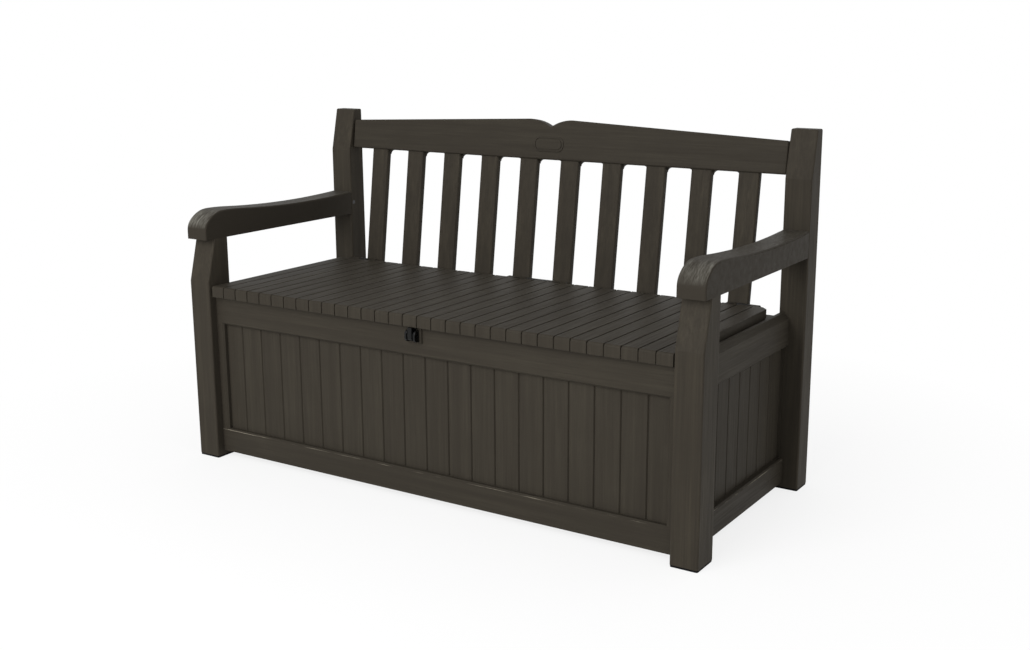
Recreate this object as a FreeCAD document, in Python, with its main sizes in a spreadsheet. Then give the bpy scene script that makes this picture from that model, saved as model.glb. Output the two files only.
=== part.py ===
import FreeCAD, Part
import os
import re
from collections import namedtuple

import Sketcher

# Outdoor storage bench: a moulded box seat with a hinged, planked lid, two armrests and a slatted back.
# X runs along the seat, the front faces -Y, Z is up and the origin is on the floor under the middle.

# Driving sizes in millimetres, degrees and counts
SIZES = {
    # Whole bench
    "bench_width": 1400,
    "bench_depth": 612,
    "bench_height": 847,
    "wall": 4,
    "edge_round": 4,
    "fit_gap": 0.3,
    # Feet, legs and posts
    "foot_height": 5,
    "foot_inset": 0.6,
    "post_width": 64,
    "leg_depth": 73,
    "leg_kink": 455,
    "leg_setback": 28,
    "post_depth": 62,
    "post_kink_drop": 110,
    "post_top_depth": 32,
    "post_back_lean": 5,
    # Armrests
    "arm_underside": 560,
    "arm_nose_straight": 20,
    "arm_nose_length": 66,
    "arm_height": 68.5,
    "arm_dip_drop": 13,
    "arm_nose_round": 36,
    "arm_crest_length": 61.5,
    "arm_dip_setback": 178,
    "arm_tenon_width": 36,
    "arm_tenon_depth": 24,
    "arm_tenon_height": 26,
    "arm_tenon_length": 22,
    "arm_tenon_rise": 18,
    # Wall panels
    "panel_bottom": 16,
    "panel_top": 418,
    "bottom_rail_top": 76,
    "top_rail_bottom": 348,
    "panel_skin": 5,
    "board_skin": 6,
    "panel_bevel": 4,
    "board_margin": 9,
    "board_groove_width": 5,
    "board_groove_depth": 3,
    "front_boards": 20,
    "rear_boards": 20,
    "side_boards": 8,
    "front_setback": 22,
    "front_thickness": 29,
    "front_recess": 13,
    "front_stile": 20,
    "front_tongue_setback": 8,
    "side_setback": 39,
    "side_thickness": 40,
    "side_recess": 16,
    "side_stile": 14,
    "side_tongue_setback": 8,
    "side_lip": 10,
    "side_lip_width": 21,
    "side_lip_bevel": 12,
    "rear_setback": 100,
    "rear_thickness": 30,
    "rear_recess": 10,
    "rear_stile": 20,
    "rear_tongue_setback": 9,
    "tongue_thickness": 12,
    "tongue_length": 10,
    # Floor of the box
    "floor_thickness": 6,
    "floor_reach": 15,
    "floor_corner": 36,
    "floor_ribs": 5,
    "floor_rib_width": 6,
    "floor_rib_height": 8,
    # Lid
    "lid_side_gap": 4.5,
    "lid_front_inset": 6,
    "lid_height": 28,
    "lid_deck": 6,
    "lid_wall": 4,
    "lid_corner": 16,
    "lid_nose": 9,
    "lid_cells": 8,
    "lid_rest_rib": 5,
    "lid_rear_gap": 4,
    "planks": 32,
    "plank_gap": 2.4,
    "plank_groove_depth": 2.5,
    # Hinges
    "hinge_behind_panel": 1,
    "hinge_lid_gap": 13.5,
    "knuckle_radius": 11,
    "pin_radius": 4,
    "pin_play": 0.05,
    "knuckle_play": 0.5,
    "hinge_plate": 3,
    "hinge_foot_front": 30,
    "hinge_foot_rear": 8,
    "hinge_neck": 14,
    "hinge_tab": 18,
    "middle_hinge_half": 86,
    "middle_knuckle_half": 29.5,
    "side_hinge_half": 40,
    "side_knuckle_half": 14.5,
    "side_hinge_inset": 69,
    "hinge_screw_inset": 14,
    # Lock
    "lock_offset": 16,
    "boss_width": 40,
    "boss_height": 36,
    "boss_rise": 5,
    "lock_drop": 20,
    "lock_inset": 8,
    "lock_hole_radius": 4,
    "eye_ear_gap": 18,
    "eye_ear_width": 5.5,
    "eye_ear_height": 27,
    "eye_nose_radius": 7.5,
    "eye_plate": 2.5,
    "eye_peg_radius": 3,
    "eye_peg_length": 9,
    "eye_peg_spacing": 16,
    "hasp_width": 26,
    "hasp_plate": 3.5,
    "hasp_tongue": 11,
    "hasp_front_inset": 1.5,
    "hasp_drop": 10,
    "hasp_flange_height": 18,
    "hasp_flange_drop": 4,
    # Backrest
    "backrest_setback": 84.2,
    "recline": 7.69,
    "slats": 10,
    "slat_margin": 94.65,
    "slat_width": 52,
    "slat_thickness": 17.5,
    "slat_foot": 60,
    "slat_seat": 26,
    "rail_drop": 4.4,
    "rail_end_height": 76.3,
    "rail_peak_height": 100.5,
    "rail_notch_height": 81.2,
    "rail_lobe_half": 62,
    "rail_end_gap": 3,
    "rail_end_round": 6,
    "rail_proud": 5,
    "rail_thickness": 30,
    "rail_tenon_length": 16,
    "rail_tenon_thickness": 14,
    "rail_tenon_rise": 18,
    "rail_tenon_height": 40,
    "rail_screw_spacing": 22,
    "lower_rail_height": 42,
    "lower_mortise_depth": 34,
    "lower_mortise_front": 6.5,
    "lower_mortise_width": 25,
    "badge_width": 86,
    "badge_height": 37,
    "badge_thickness": 2,
    "badge_round": 15,
    "badge_rise": 20,
    # Screws
    "screw_radius": 2.5,
    "screw_head_radius": 5,
    "screw_head_height": 2.5,
    "arm_screw_length": 24,
    "rail_screw_length": 20,
    "lower_screw_length": 44,
    "hinge_screw_length": 12,
    "hasp_screw_length": 6.5,
    "lean_slack": 1,
}

# Sizes worked out from the driving ones
DERIVED = {
    "arm_peak": "(arm_underside + arm_height)",
    "arm_dip": "(arm_peak - arm_dip_drop)",
    "post_kink": "(bench_height - post_kink_drop)",
    "side_hinge_place": "(bench_width / 2 - post_width - lid_side_gap - side_hinge_inset)",
    "slat_pitch": "(2 * (bench_width / 2 - post_width - slat_margin) / (slats - 1))",
    "rail_rise": "((bench_height - rail_drop - panel_top - lid_height) / cos(recline) - rail_peak_height)",
}

SIDES = {"left": -1, "right": 1}

# Places worked out from the driving sizes
FRONT = "(-bench_depth / 2)"
BACK = "(bench_depth / 2)"
LEG_INNER = "(bench_width / 2 - post_width)"
LEG_MIDDLE = "(bench_width / 2 - post_width / 2)"
LEG_REAR = f"({FRONT} + leg_depth)"
POST_FRONT = f"({BACK} - post_depth)"
FRONT_FACE = f"({FRONT} + front_setback)"
FRONT_INNER = f"({FRONT_FACE} + front_thickness)"
SIDE_FACE = "(bench_width / 2 - side_setback)"
SIDE_INNER = f"({SIDE_FACE} - side_thickness)"
REAR_FACE = f"({BACK} - rear_setback)"
REAR_INNER = f"({REAR_FACE} - rear_thickness)"
LID_TOP = "(panel_top + lid_height)"
LID_HALF = f"({LEG_INNER} - lid_side_gap)"
LID_FRONT = f"({FRONT} + lid_front_inset)"
LIP_INNER = f"({LID_FRONT} + lid_wall)"
HINGE_Y = f"({REAR_FACE} + hinge_behind_panel)"
HINGE_Z = f"({LID_TOP} - knuckle_radius)"
LID_REAR = f"({HINGE_Y} - hinge_lid_gap)"
PLANK_PITCH = f"(2 * {LID_HALF} / planks)"
LOCK_X = "(-lock_offset)"
LOCK_Y = f"({FRONT} + lock_inset)"
LOCK_Z = "(panel_top - lock_drop)"
BOSS_FACE = f"({FRONT_FACE} - boss_rise)"
SLAT_FRONT = f"({BACK} - backrest_setback)"
RAIL_HALF = f"({LEG_INNER} - rail_end_gap)"
TENON_MIDDLE = "(rail_thickness / 2 - rail_proud)"
TENON_CENTRE = "(rail_rise + rail_tenon_rise + rail_tenon_height / 2)"
SCREW_HOLE = "(screw_radius + fit_gap)"
HEAD_HOLE = "(screw_head_radius + fit_gap)"
THROUGH_WALL = "(wall * 1.5)"

# Coordinates closer than SAME are one place, and an edge longer than LONG has a length worth dressing
SAME = 0.01
LONG = 1

# A point that an arc of an outline passes through, between two corners
Via = namedtuple("Via", "across up")

doc = FreeCAD.newDocument("storage_bench")
sheet = doc.addObject("Spreadsheet::Sheet", "Sizes")
nodes = []


def fill_sheet():
    """Write each driving size to a cell of its own and name the cell."""
    for row, (name, value) in enumerate(SIZES.items(), 1):
        sheet.set(f"A{row}", name)
        sheet.set(f"B{row}", str(value))
        sheet.setAlias(f"B{row}", name)
    doc.recompute()


def linked(word):
    """A word of an expression as the sheet's cell or the worked-out size that it names."""
    name = word[0]
    if name in DERIVED:
        return bound(DERIVED[name])
    return f"Sizes.{name}" if name in SIZES else name


def bound(text):
    """The expression with every size pointing at its cell."""
    return re.sub("[a-z_]+", linked, text)


def number(text):
    """The present value of an expression."""
    return float(sheet.evalExpression(bound(text)))


def point(across, up):
    """A sketch point at the present values of two expressions."""
    return FreeCAD.Vector(number(across), number(up), 0)


def around(centre, size):
    """The two ends of a size laid evenly about a centre."""
    return f"({centre} - {size} / 2)", f"({centre} + {size} / 2)"


def rectangle(across, up):
    """The corners of a rectangle from its (low, high) pairs."""
    return [(across[0], up[0]), (across[1], up[0]), (across[1], up[1]), (across[0], up[1])]


def reclined(out, along):
    """The bench's (y, z) of a point given in the leaning frame of the backrest."""
    across = f"({SLAT_FRONT} + ({out}) * cos(recline) + ({along}) * sin(recline))"
    up = f"({LID_TOP} - ({out}) * sin(recline) + ({along}) * cos(recline))"
    return across, up


def new_body(label):
    """An empty body that becomes one node of the bench."""
    body = doc.addObject("PartDesign::Body", label)
    body.Label = label
    nodes.append(body)
    return body


def hold_point(sketch, geometry, spot, across, up):
    """Tie one point of a sketch to two expressions."""
    for kind, text in (("DistanceX", across), ("DistanceY", up)):
        index = sketch.addConstraint(Sketcher.Constraint(kind, -1, 1, geometry, spot, number(text)))
        sketch.setExpression(f"Constraints[{index}]", bound(text))


def draw_loop(sketch, points):
    """Draw a closed outline of straight edges and of arcs that pass through Via points."""
    corners = []
    vias = []
    for place in points:
        if isinstance(place, Via):
            vias[-1] = place
        else:
            corners.append(place)
            vias.append(None)
    edges = []
    for corner, via, following in zip(corners, vias, corners[1:] + corners[:1]):
        start, end = point(*corner), point(*following)
        if via is None:
            edges.append((sketch.addGeometry(Part.LineSegment(start, end), False), 1, 2))
            continue
        middle = point(*via)
        turns_left = (middle - start).cross(end - middle).z > 0
        arc = Part.Arc(start, middle, end) if turns_left else Part.Arc(end, middle, start)
        edges.append((sketch.addGeometry(arc, False), 1 if turns_left else 2, 2 if turns_left else 1))
    for index, (edge, first, _) in enumerate(edges):
        before, _, last = edges[index - 1]
        sketch.addConstraint(Sketcher.Constraint("Coincident", before, last, edge, first))
        hold_point(sketch, edge, first, *corners[index])
        if vias[index] is not None:
            mark = sketch.addGeometry(Part.Point(point(*vias[index])), True)
            hold_point(sketch, mark, 1, *vias[index])
            sketch.addConstraint(Sketcher.Constraint("PointOnObject", mark, 1, edge))


def draw_disc(sketch, across, up, radius):
    """Draw a circle whose centre and radius are tied to expressions."""
    circle = Part.Circle(point(across, up), FreeCAD.Vector(0, 0, 1), number(radius))
    edge = sketch.addGeometry(circle, False)
    hold_point(sketch, edge, 3, across, up)
    index = sketch.addConstraint(Sketcher.Constraint("Radius", edge, number(radius)))
    sketch.setExpression(f"Constraints[{index}]", bound(radius))


def draw(body, plane, place, loops=(), discs=()):
    """A sketch on an origin plane of the body, moved to a place along that plane's axis."""
    sketch = body.newObject("Sketcher::SketchObject", "outline")
    support = next(item for item in body.Origin.OriginFeatures if item.Role == f"{plane}_Plane")
    sketch.AttachmentSupport = (support, "")
    sketch.MapMode = "FlatFace"
    lift = f"-({place})" if plane == "XZ" else place
    sketch.setExpression("AttachmentOffset.Base.z", bound(lift))
    for loop in loops:
        draw_loop(sketch, loop)
    for disc in discs:
        draw_disc(sketch, *disc)
    doc.recompute()
    return sketch


def grow(body, sketch, length):
    """Add material of the given length, half to each side of the sketch."""
    pad = body.newObject("PartDesign::Pad", "pad")
    pad.Profile = sketch
    pad.SideType = "Symmetric"
    pad.setExpression("Length", bound(length))
    doc.recompute()


def cut(body, sketch, depth):
    """Take material away to the given depth on both sides of the sketch."""
    before = body.Shape.Volume
    pocket = body.newObject("PartDesign::Pocket", "pocket")
    pocket.Profile = sketch
    pocket.SideType = "Symmetric"
    pocket.setExpression("Length", bound(f"2 * ({depth})"))
    doc.recompute()
    if body.Shape.Volume >= before:
        raise RuntimeError(f"{body.Label}: {pocket.Name} cuts nothing")
    return pocket


def repeat(body, feature, axis, count, pitch):
    """Repeat a feature along an axis of its sketch."""
    row = body.newObject("PartDesign::LinearPattern", "row")
    row.Originals = [feature]
    row.Direction = (feature.Profile[0], [axis])
    row.Mode = "Spacing"
    row.setExpression("Offset", bound(pitch))
    row.setExpression("Occurrences", bound(count))
    body.Tip = row
    doc.recompute()


def dress(body, kind, size, wanted):
    """Round ("Fillet") or bevel ("Chamfer") the edges whose bounding box passes the test."""
    base = body.Tip
    edges = [f"Edge{i}" for i, edge in enumerate(base.Shape.Edges, 1) if wanted(edge.BoundBox)]
    feature = body.newObject(f"PartDesign::{kind}", kind.lower())
    feature.Base = (base, edges)
    feature.setExpression("Radius" if kind == "Fillet" else "Size", bound(size))
    doc.recompute()


def near(value, text):
    """Whether a measured coordinate lies at an expression's value."""
    return abs(value - number(text)) < SAME


def lean_back(body):
    """Stand a body that is built upright in the leaning frame of the backrest."""
    body.Placement = FreeCAD.Placement(FreeCAD.Vector(), FreeCAD.Rotation(FreeCAD.Vector(1, 0, 0), 0))
    body.setExpression("Placement.Base.y", bound(SLAT_FRONT))
    body.setExpression("Placement.Base.z", bound(LID_TOP))
    body.setExpression("Placement.Rotation.Angle", bound("-recline"))


def screw_group(label, length, places, turn):
    """Separate screws of one kind, each with its head's seat at a place and its shank along the turn."""
    screws = []
    for place in places:
        shank = doc.addObject("Part::Cylinder", "shank")
        shank.setExpression("Radius", bound("screw_radius"))
        shank.setExpression("Height", bound(length))
        head = doc.addObject("Part::Cylinder", "head")
        head.setExpression("Radius", bound("screw_head_radius"))
        head.setExpression("Height", bound("screw_head_height"))
        head.setExpression("Placement.Base.z", bound("-screw_head_height"))
        screw = doc.addObject("Part::Fuse", "screw")
        screw.Base = shank
        screw.Tool = head
        screw.Placement = FreeCAD.Placement(FreeCAD.Vector(), turn(place))
        for axis, text in zip("xyz", place):
            screw.setExpression(f"Placement.Base.{axis}", bound(text))
        screws.append(screw)
    group = doc.addObject("Part::Compound", label)
    group.Label = label
    group.Links = screws
    nodes.append(group)


def facing(across, out, up):
    """A turn that points a screw's shank the same way at every place."""
    return lambda place: FreeCAD.Rotation(FreeCAD.Vector(0, 0, 1), FreeCAD.Vector(across, out, up))


def outward(place):
    """A turn that points a screw's shank along X, away from the middle of the bench."""
    return FreeCAD.Rotation(FreeCAD.Vector(0, 0, 1), FreeCAD.Vector(number(place[0]), 0, 0))


# Places that several pieces share
def arm_screw_spot():
    """The (y, z) of the screw that holds an armrest's tenon in its post."""
    return f"({POST_FRONT} + arm_tenon_length / 2)", f"({arm_tenon_low()} + arm_tenon_height / 2)"


def arm_tenon_low():
    """The lower face of an armrest's rear tenon."""
    return "(arm_underside + arm_tenon_rise)"


def leg_tenon(slack):
    """The (low, high) depth of the leg's tenon, with room added all round."""
    middle = f"(({FRONT} + leg_setback + {LEG_REAR}) / 2)"
    return around(middle, f"(arm_tenon_depth + 2 * {slack})")


def tongue(face, inward, setback, slack="0"):
    """The (low, high) thickness of a panel's end tongue, with room added on both sides."""
    middle = f"({face} + {inward} * ({setback} + tongue_thickness / 2))"
    return around(middle, f"(tongue_thickness + 2 * {slack})")


def rail_screw_places():
    """The seats of the screws that reach through the posts into the top rail's tenons."""
    seat = f"({BACK} - post_back_lean - 2 * screw_head_height)"
    places = []
    for side in SIDES.values():
        for step in (-1, 1):
            rise = reclined(TENON_MIDDLE, f"{TENON_CENTRE} + {step} * rail_screw_spacing / 2")[1]
            places.append((f"{side} * ({LEG_INNER} + rail_tenon_length / 2)", seat, rise))
    return places


def lower_screw_places():
    """The seats of the screws that hold the lower rail of the back to the rear panel."""
    height = "(panel_top - lower_rail_height / 2)"
    seat = f"({POST_FRONT} - screw_head_height)"
    return [(f"{step} * slat_pitch", seat, height) for step in (-3, -1, 1, 3)]


def hinges():
    """The name, middle, half width and half knuckle of each hinge."""
    yield "left", "-side_hinge_place", "side_hinge_half", "side_knuckle_half"
    yield "middle", "0", "middle_hinge_half", "middle_knuckle_half"
    yield "right", "side_hinge_place", "side_hinge_half", "side_knuckle_half"


def hinge_screw_places():
    """The seats of the screws in the hinge feet."""
    across = f"({REAR_INNER} + hinge_foot_front / 4)"
    places = []
    for _, middle, half, _ in hinges():
        for step in (-1, 1):
            places.append((f"({middle} + {step} * ({half} - hinge_screw_inset))", across,
                           "(panel_top + hinge_plate)"))
    return places


def hasp_screw_places():
    """The seats of the screws that hold the hasp behind the lid's front lip."""
    seat = f"({LIP_INNER} + hasp_plate)"
    height = "(panel_top + hasp_flange_height / 2)"
    return [(f"({LOCK_X} + {step} * hasp_width / 3)", seat, height) for step in (-1, 1)]


# Legs, posts, feet and armrests
def foot(end, name, side):
    """A foot pad that plugs the open end of a leg or post."""
    depth = (FRONT, LEG_REAR) if end == "front" else (POST_FRONT, BACK)
    body = new_body(f"{name}_{end}_foot")
    across = around(f"{side} * {LEG_MIDDLE}", "(post_width - 2 * foot_inset)")
    out = (f"({depth[0]} + foot_inset)", f"({depth[1]} - foot_inset)")
    grow(body, draw(body, "XY", "foot_height / 2", [rectangle(across, out)]), "foot_height")
    lean = "post_back_lean" if end == "rear" else "0"
    across = around(f"{side} * {LEG_MIDDLE}", "(post_width - 2 * (wall + fit_gap))")
    out = (f"({depth[0]} + wall + fit_gap)", f"({depth[1]} - {lean} - wall - fit_gap)")
    plug = draw(body, "XY", "(panel_bottom - fit_gap + foot_height) / 2", [rectangle(across, out)])
    grow(body, plug, "panel_bottom - fit_gap - foot_height")
    dress(body, "Chamfer", "foot_inset", lambda box: box.ZMax < SAME)


def front_leg(name, side):
    """A hollow front leg whose front face leans back above the seat."""
    body = new_body(f"{name}_front_leg")
    middle = f"{side} * {LEG_MIDDLE}"
    inner = f"{side} * {LEG_INNER}"
    profile = [(FRONT, "foot_height"), (LEG_REAR, "foot_height"), (LEG_REAR, "arm_underside"),
               (f"{FRONT} + leg_setback", "arm_underside"), (FRONT, "leg_kink")]
    grow(body, draw(body, "YZ", middle, [profile]), "post_width")
    dress(body, "Fillet", "edge_round", lambda box: box.XLength < SAME and box.ZLength > LONG)
    across = around(middle, "(post_width - 2 * wall)")
    hollow = rectangle(across, (f"({FRONT} + wall)", f"({LEG_REAR} - wall)"))
    cut(body, draw(body, "XY", "foot_height", [hollow]), "leg_kink - foot_height - wall")
    stub = rectangle(around(middle, "arm_tenon_width"), leg_tenon("0"))
    grow(body, draw(body, "XY", "arm_underside", [stub]), "2 * arm_tenon_height")
    rise = ("(panel_bottom - fit_gap)", "(panel_top + fit_gap)")
    slot = rectangle(tongue(FRONT_FACE, 1, "front_tongue_setback", "fit_gap"), rise)
    cut(body, draw(body, "YZ", inner, [slot]), THROUGH_WALL)
    slot = rectangle(tongue(f"{side} * {SIDE_FACE}", -side, "side_tongue_setback", "fit_gap"), rise)
    cut(body, draw(body, "XZ", LEG_REAR, [slot]), THROUGH_WALL)


def rear_post(name, side):
    """A hollow rear post that carries the armrest and the top rail of the back."""
    body = new_body(f"{name}_rear_post")
    middle = f"{side} * {LEG_MIDDLE}"
    inner = f"{side} * {LEG_INNER}"
    top_back = f"({BACK} - post_back_lean)"
    profile = [(POST_FRONT, "foot_height"), (BACK, "foot_height"), (top_back, "bench_height"),
               (f"({top_back} - post_top_depth)", "bench_height"), (POST_FRONT, "post_kink")]
    grow(body, draw(body, "YZ", middle, [profile]), "post_width")
    dress(body, "Fillet", "edge_round",
          lambda box: (box.XLength < SAME and box.ZLength > LONG) or near(box.ZMin, "bench_height"))
    across = around(middle, "(post_width - 2 * wall)")
    hollow = rectangle(across, (f"({POST_FRONT} + wall)", f"({top_back} - wall)"))
    cut(body, draw(body, "XY", "foot_height", [hollow]), "post_kink - foot_height - wall")
    rise = ("(panel_bottom - fit_gap)", "(panel_top + fit_gap)")
    slot = rectangle(tongue(f"{side} * {SIDE_FACE}", -side, "side_tongue_setback", "fit_gap"), rise)
    across = around(middle, "(arm_tenon_width + 2 * fit_gap)")
    rise = (f"({arm_tenon_low()} - fit_gap)", f"({arm_tenon_low()} + arm_tenon_height + fit_gap)")
    cut(body, draw(body, "XZ", POST_FRONT, [slot, rectangle(across, rise)]), THROUGH_WALL)
    cut(body, draw(body, "YZ", inner, discs=[(*arm_screw_spot(), SCREW_HOLE)]), THROUGH_WALL)
    cut(body, draw(body, "YZ", inner, discs=[(*arm_screw_spot(), HEAD_HOLE)]), "screw_head_height")
    out = around(TENON_MIDDLE, "(rail_tenon_thickness + 2 * fit_gap)")
    along = around(TENON_CENTRE, "(rail_tenon_height + 2 * fit_gap)")
    slot = [reclined(*corner) for corner in rectangle(out, along)]
    cut(body, draw(body, "YZ", inner, [slot]), "rail_tenon_length + fit_gap")
    own = [place for place in rail_screw_places() if number(place[0]) * side > 0]
    seat = own[0][1]
    shanks = [(across, up, SCREW_HOLE) for across, _, up in own]
    cut(body, draw(body, "XZ", seat, discs=shanks), "rail_screw_length + fit_gap")
    heads = [(across, up, HEAD_HOLE) for across, _, up in own]
    cut(body, draw(body, "XZ", f"({seat} + post_back_lean)", discs=heads), "post_back_lean")


def on_arc(across, up, radius, angle):
    """The point of an arc at an angle from +Y, given the arc's centre and radius."""
    return f"({across} + {radius} * cos({angle}))", f"({up} + {radius} * sin({angle}))"


def arm_profile():
    """The side outline of an armrest, whose rounded nose runs smoothly into the hollowed top."""
    nose_low = "(arm_underside + arm_nose_straight)"
    rise = f"(arm_peak - {nose_low})"
    peak = f"({FRONT} + arm_nose_length)"
    reach = "(arm_nose_length - arm_nose_round)"
    crown_square = f"(arm_nose_length * ({reach} - arm_nose_round) + {rise} * {rise})"
    crown = f"({crown_square} / (2 * ({rise} - arm_nose_round)))"
    turn = f"atan(({crown} - {rise}) / {reach})"
    nose_arc = (f"({FRONT} + arm_nose_round)", nose_low, "arm_nose_round")
    crown_arc = (peak, f"(arm_peak - {crown})", crown)
    dip = f"({POST_FRONT} - arm_dip_setback)"
    run = f"({dip} - {peak})"
    drop = "(arm_peak - arm_dip)"
    both_radii = f"(({run} * {run} + {drop} * {drop}) / (2 * {drop}))"
    share = f"(arm_crest_length / {run})"
    crest = f"({both_radii} * {share})"
    hollow = f"({both_radii} - {crest})"
    half_crest = "(arm_crest_length / 2)"
    crest_middle = f"(arm_peak - {crest} + sqrt({crest} * {crest} - {half_crest} * {half_crest}))"
    rear_top = f"(arm_dip + {hollow} - sqrt({hollow} * {hollow} - arm_dip_setback * arm_dip_setback))"
    return [(FRONT, "arm_underside"), (POST_FRONT, "arm_underside"),
            (POST_FRONT, rear_top), Via(dip, "arm_dip"),
            (f"({peak} + arm_crest_length)", f"(arm_peak - {drop} * {share})"),
            Via(f"({peak} + {half_crest})", crest_middle),
            (peak, "arm_peak"), Via(*on_arc(*crown_arc, f"(135 deg - {turn} / 2)")),
            on_arc(*crown_arc, f"(180 deg - {turn})"), Via(*on_arc(*nose_arc, f"(180 deg - {turn} / 2)")),
            (FRONT, nose_low)]


def armrest(name, side):
    """A hollow armrest with a rounded nose and a gently hollowed top."""
    body = new_body(f"{name}_armrest")
    middle = f"{side} * {LEG_MIDDLE}"
    grow(body, draw(body, "YZ", middle, [arm_profile()]), "post_width")

    def shows(box):
        """The long edges of the nose and of the top."""
        above = box.ZMax > number("arm_underside") + LONG
        return box.XLength < SAME and above and box.YMin < number(POST_FRONT) - LONG

    dress(body, "Fillet", "edge_round", shows)
    leg_front = f"({FRONT} + leg_setback)"
    cavity = rectangle((f"({leg_front} + wall)", f"({POST_FRONT} - wall)"),
                       ("(arm_underside + wall)", "(arm_dip - wall)"))
    cut(body, draw(body, "YZ", middle, [cavity]), "post_width / 2 - wall")
    socket = rectangle(around(middle, "(arm_tenon_width + 2 * fit_gap)"), leg_tenon("fit_gap"))
    cut(body, draw(body, "XY", "arm_underside", [socket]), THROUGH_WALL)
    rise = (arm_tenon_low(), f"({arm_tenon_low()} + arm_tenon_height)")
    tenon = rectangle(around(middle, "arm_tenon_width"), rise)
    grow(body, draw(body, "XZ", POST_FRONT, [tenon]), "2 * arm_tenon_length")
    cut(body, draw(body, "YZ", middle, discs=[(*arm_screw_spot(), SCREW_HOLE)]), "arm_tenon_width")


# Wall panels and floor of the box
def panel(label, plane, face, inward, span, stiles, thickness, recess, boards, tongue_setback,
          solid_from=None):
    """A moulded wall: two rails and a field of boards, ribbed hollow behind, with a tongue at each end."""
    body = new_body(label)
    inner = f"({face} + {inward} * {thickness})"
    middle = f"({face} + {inward} * {thickness} / 2)"
    height = ("panel_bottom", "panel_top")
    field_height = ("bottom_rail_top", "top_rail_bottom")
    grow(body, draw(body, plane, middle, [rectangle(span, height)]), thickness)
    field = rectangle((f"({span[0]} + {stiles[0]})", f"({span[1]} - {stiles[1]})"), field_height)
    cut(body, draw(body, plane, face, [field]), recess)

    def frames_field(box):
        """The outer edges of the field."""
        low, high = (box.YMin, box.YMax) if plane == "XZ" else (box.XMin, box.XMax)
        inside = box.ZMin > number("panel_bottom") + LONG and box.ZMax < number("panel_top") - LONG
        return near(low, face) and near(high, face) and inside

    dress(body, "Chamfer", "panel_bevel", frames_field)
    add_board_grooves(body, plane, f"({face} + {inward} * {recess})", inward, span, boards)
    ends = (f"({span[0]} + panel_skin)", f"({span[1]} - panel_skin)")
    if solid_from is not None:
        ends = (ends[0], solid_from)
    rails = [rectangle(ends, ("(panel_bottom + panel_skin)", "(bottom_rail_top - panel_skin)")),
             rectangle(ends, ("(top_rail_bottom + panel_skin)", "(panel_top - panel_skin)"))]
    cut(body, draw(body, plane, inner, rails), f"{thickness} - panel_skin")
    hollow = rectangle(ends, field_height)
    cut(body, draw(body, plane, inner, [hollow]), f"{thickness} - {recess} - board_skin")
    low, high = tongue(face, inward, tongue_setback)
    tongues = [rectangle((f"({span[0]} - tongue_length)", span[0]), height),
               rectangle((span[1], f"({span[1]} + tongue_length)"), height)]
    grow(body, draw(body, plane, f"(({low} + {high}) / 2)", tongues), "tongue_thickness")
    return body


def add_board_grooves(body, plane, surface, inward, span, boards):
    """Cut the upright V grooves that part the boards of a field."""
    pitch = f"(({span[1]} - {span[0]} - 2 * board_margin) / {boards})"
    first = f"({span[0]} + board_margin + {pitch})"
    left, right = around(first, "board_groove_width")
    bottom = f"({surface} + {inward} * board_groove_depth)"
    groove = [(left, surface), (right, surface), (first, bottom)]
    if plane == "YZ":
        groove = [(out, across) for across, out in groove]
    sketch = draw(body, "XY", "((bottom_rail_top + top_rail_bottom) / 2)", [groove])
    feature = cut(body, sketch, "(top_rail_bottom - bottom_rail_top) / 2")
    repeat(body, feature, "H_Axis" if plane == "XZ" else "V_Axis", f"{boards} - 1", pitch)


def front_panel():
    """The front wall, with the raised boss that carries the lock eye."""
    span = (f"(-{LEG_INNER})", LEG_INNER)
    stiles = ("front_stile", "front_stile")
    body = panel("front_panel", "XZ", FRONT_FACE, 1, span, stiles, "front_thickness", "front_recess",
                 "front_boards", "front_tongue_setback")
    boss = rectangle(around(LOCK_X, "boss_width"), around(LOCK_Z, "boss_height"))
    grow(body, draw(body, "XZ", FRONT_FACE, [boss]), "2 * boss_rise")
    dress(body, "Fillet", "boss_rise / 2",
          lambda box: near(box.YMin, BOSS_FACE) and near(box.YMax, BOSS_FACE))
    pegs = [(LOCK_X, height, "(eye_peg_radius + fit_gap)") for height in around(LOCK_Z, "eye_peg_spacing")]
    cut(body, draw(body, "XZ", BOSS_FACE, discs=pegs), "boss_rise + panel_skin + fit_gap")


def rear_panel():
    """The rear wall, which carries the hinges and the lower rail of the back."""
    span = (f"(-{SIDE_INNER})", SIDE_INNER)
    stiles = ("rear_stile", "rear_stile")
    body = panel("rear_panel", "XZ", REAR_FACE, -1, span, stiles, "rear_thickness", "rear_recess",
                 "rear_boards", "rear_tongue_setback")
    holes = [(across, up, SCREW_HOLE) for across, _, up in lower_screw_places()]
    cut(body, draw(body, "XZ", REAR_FACE, discs=holes), "panel_skin + fit_gap")
    holes = [(across, out, SCREW_HOLE) for across, out, _ in hinge_screw_places()]
    cut(body, draw(body, "XY", "panel_top", discs=holes), "panel_skin + fit_gap")


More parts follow.
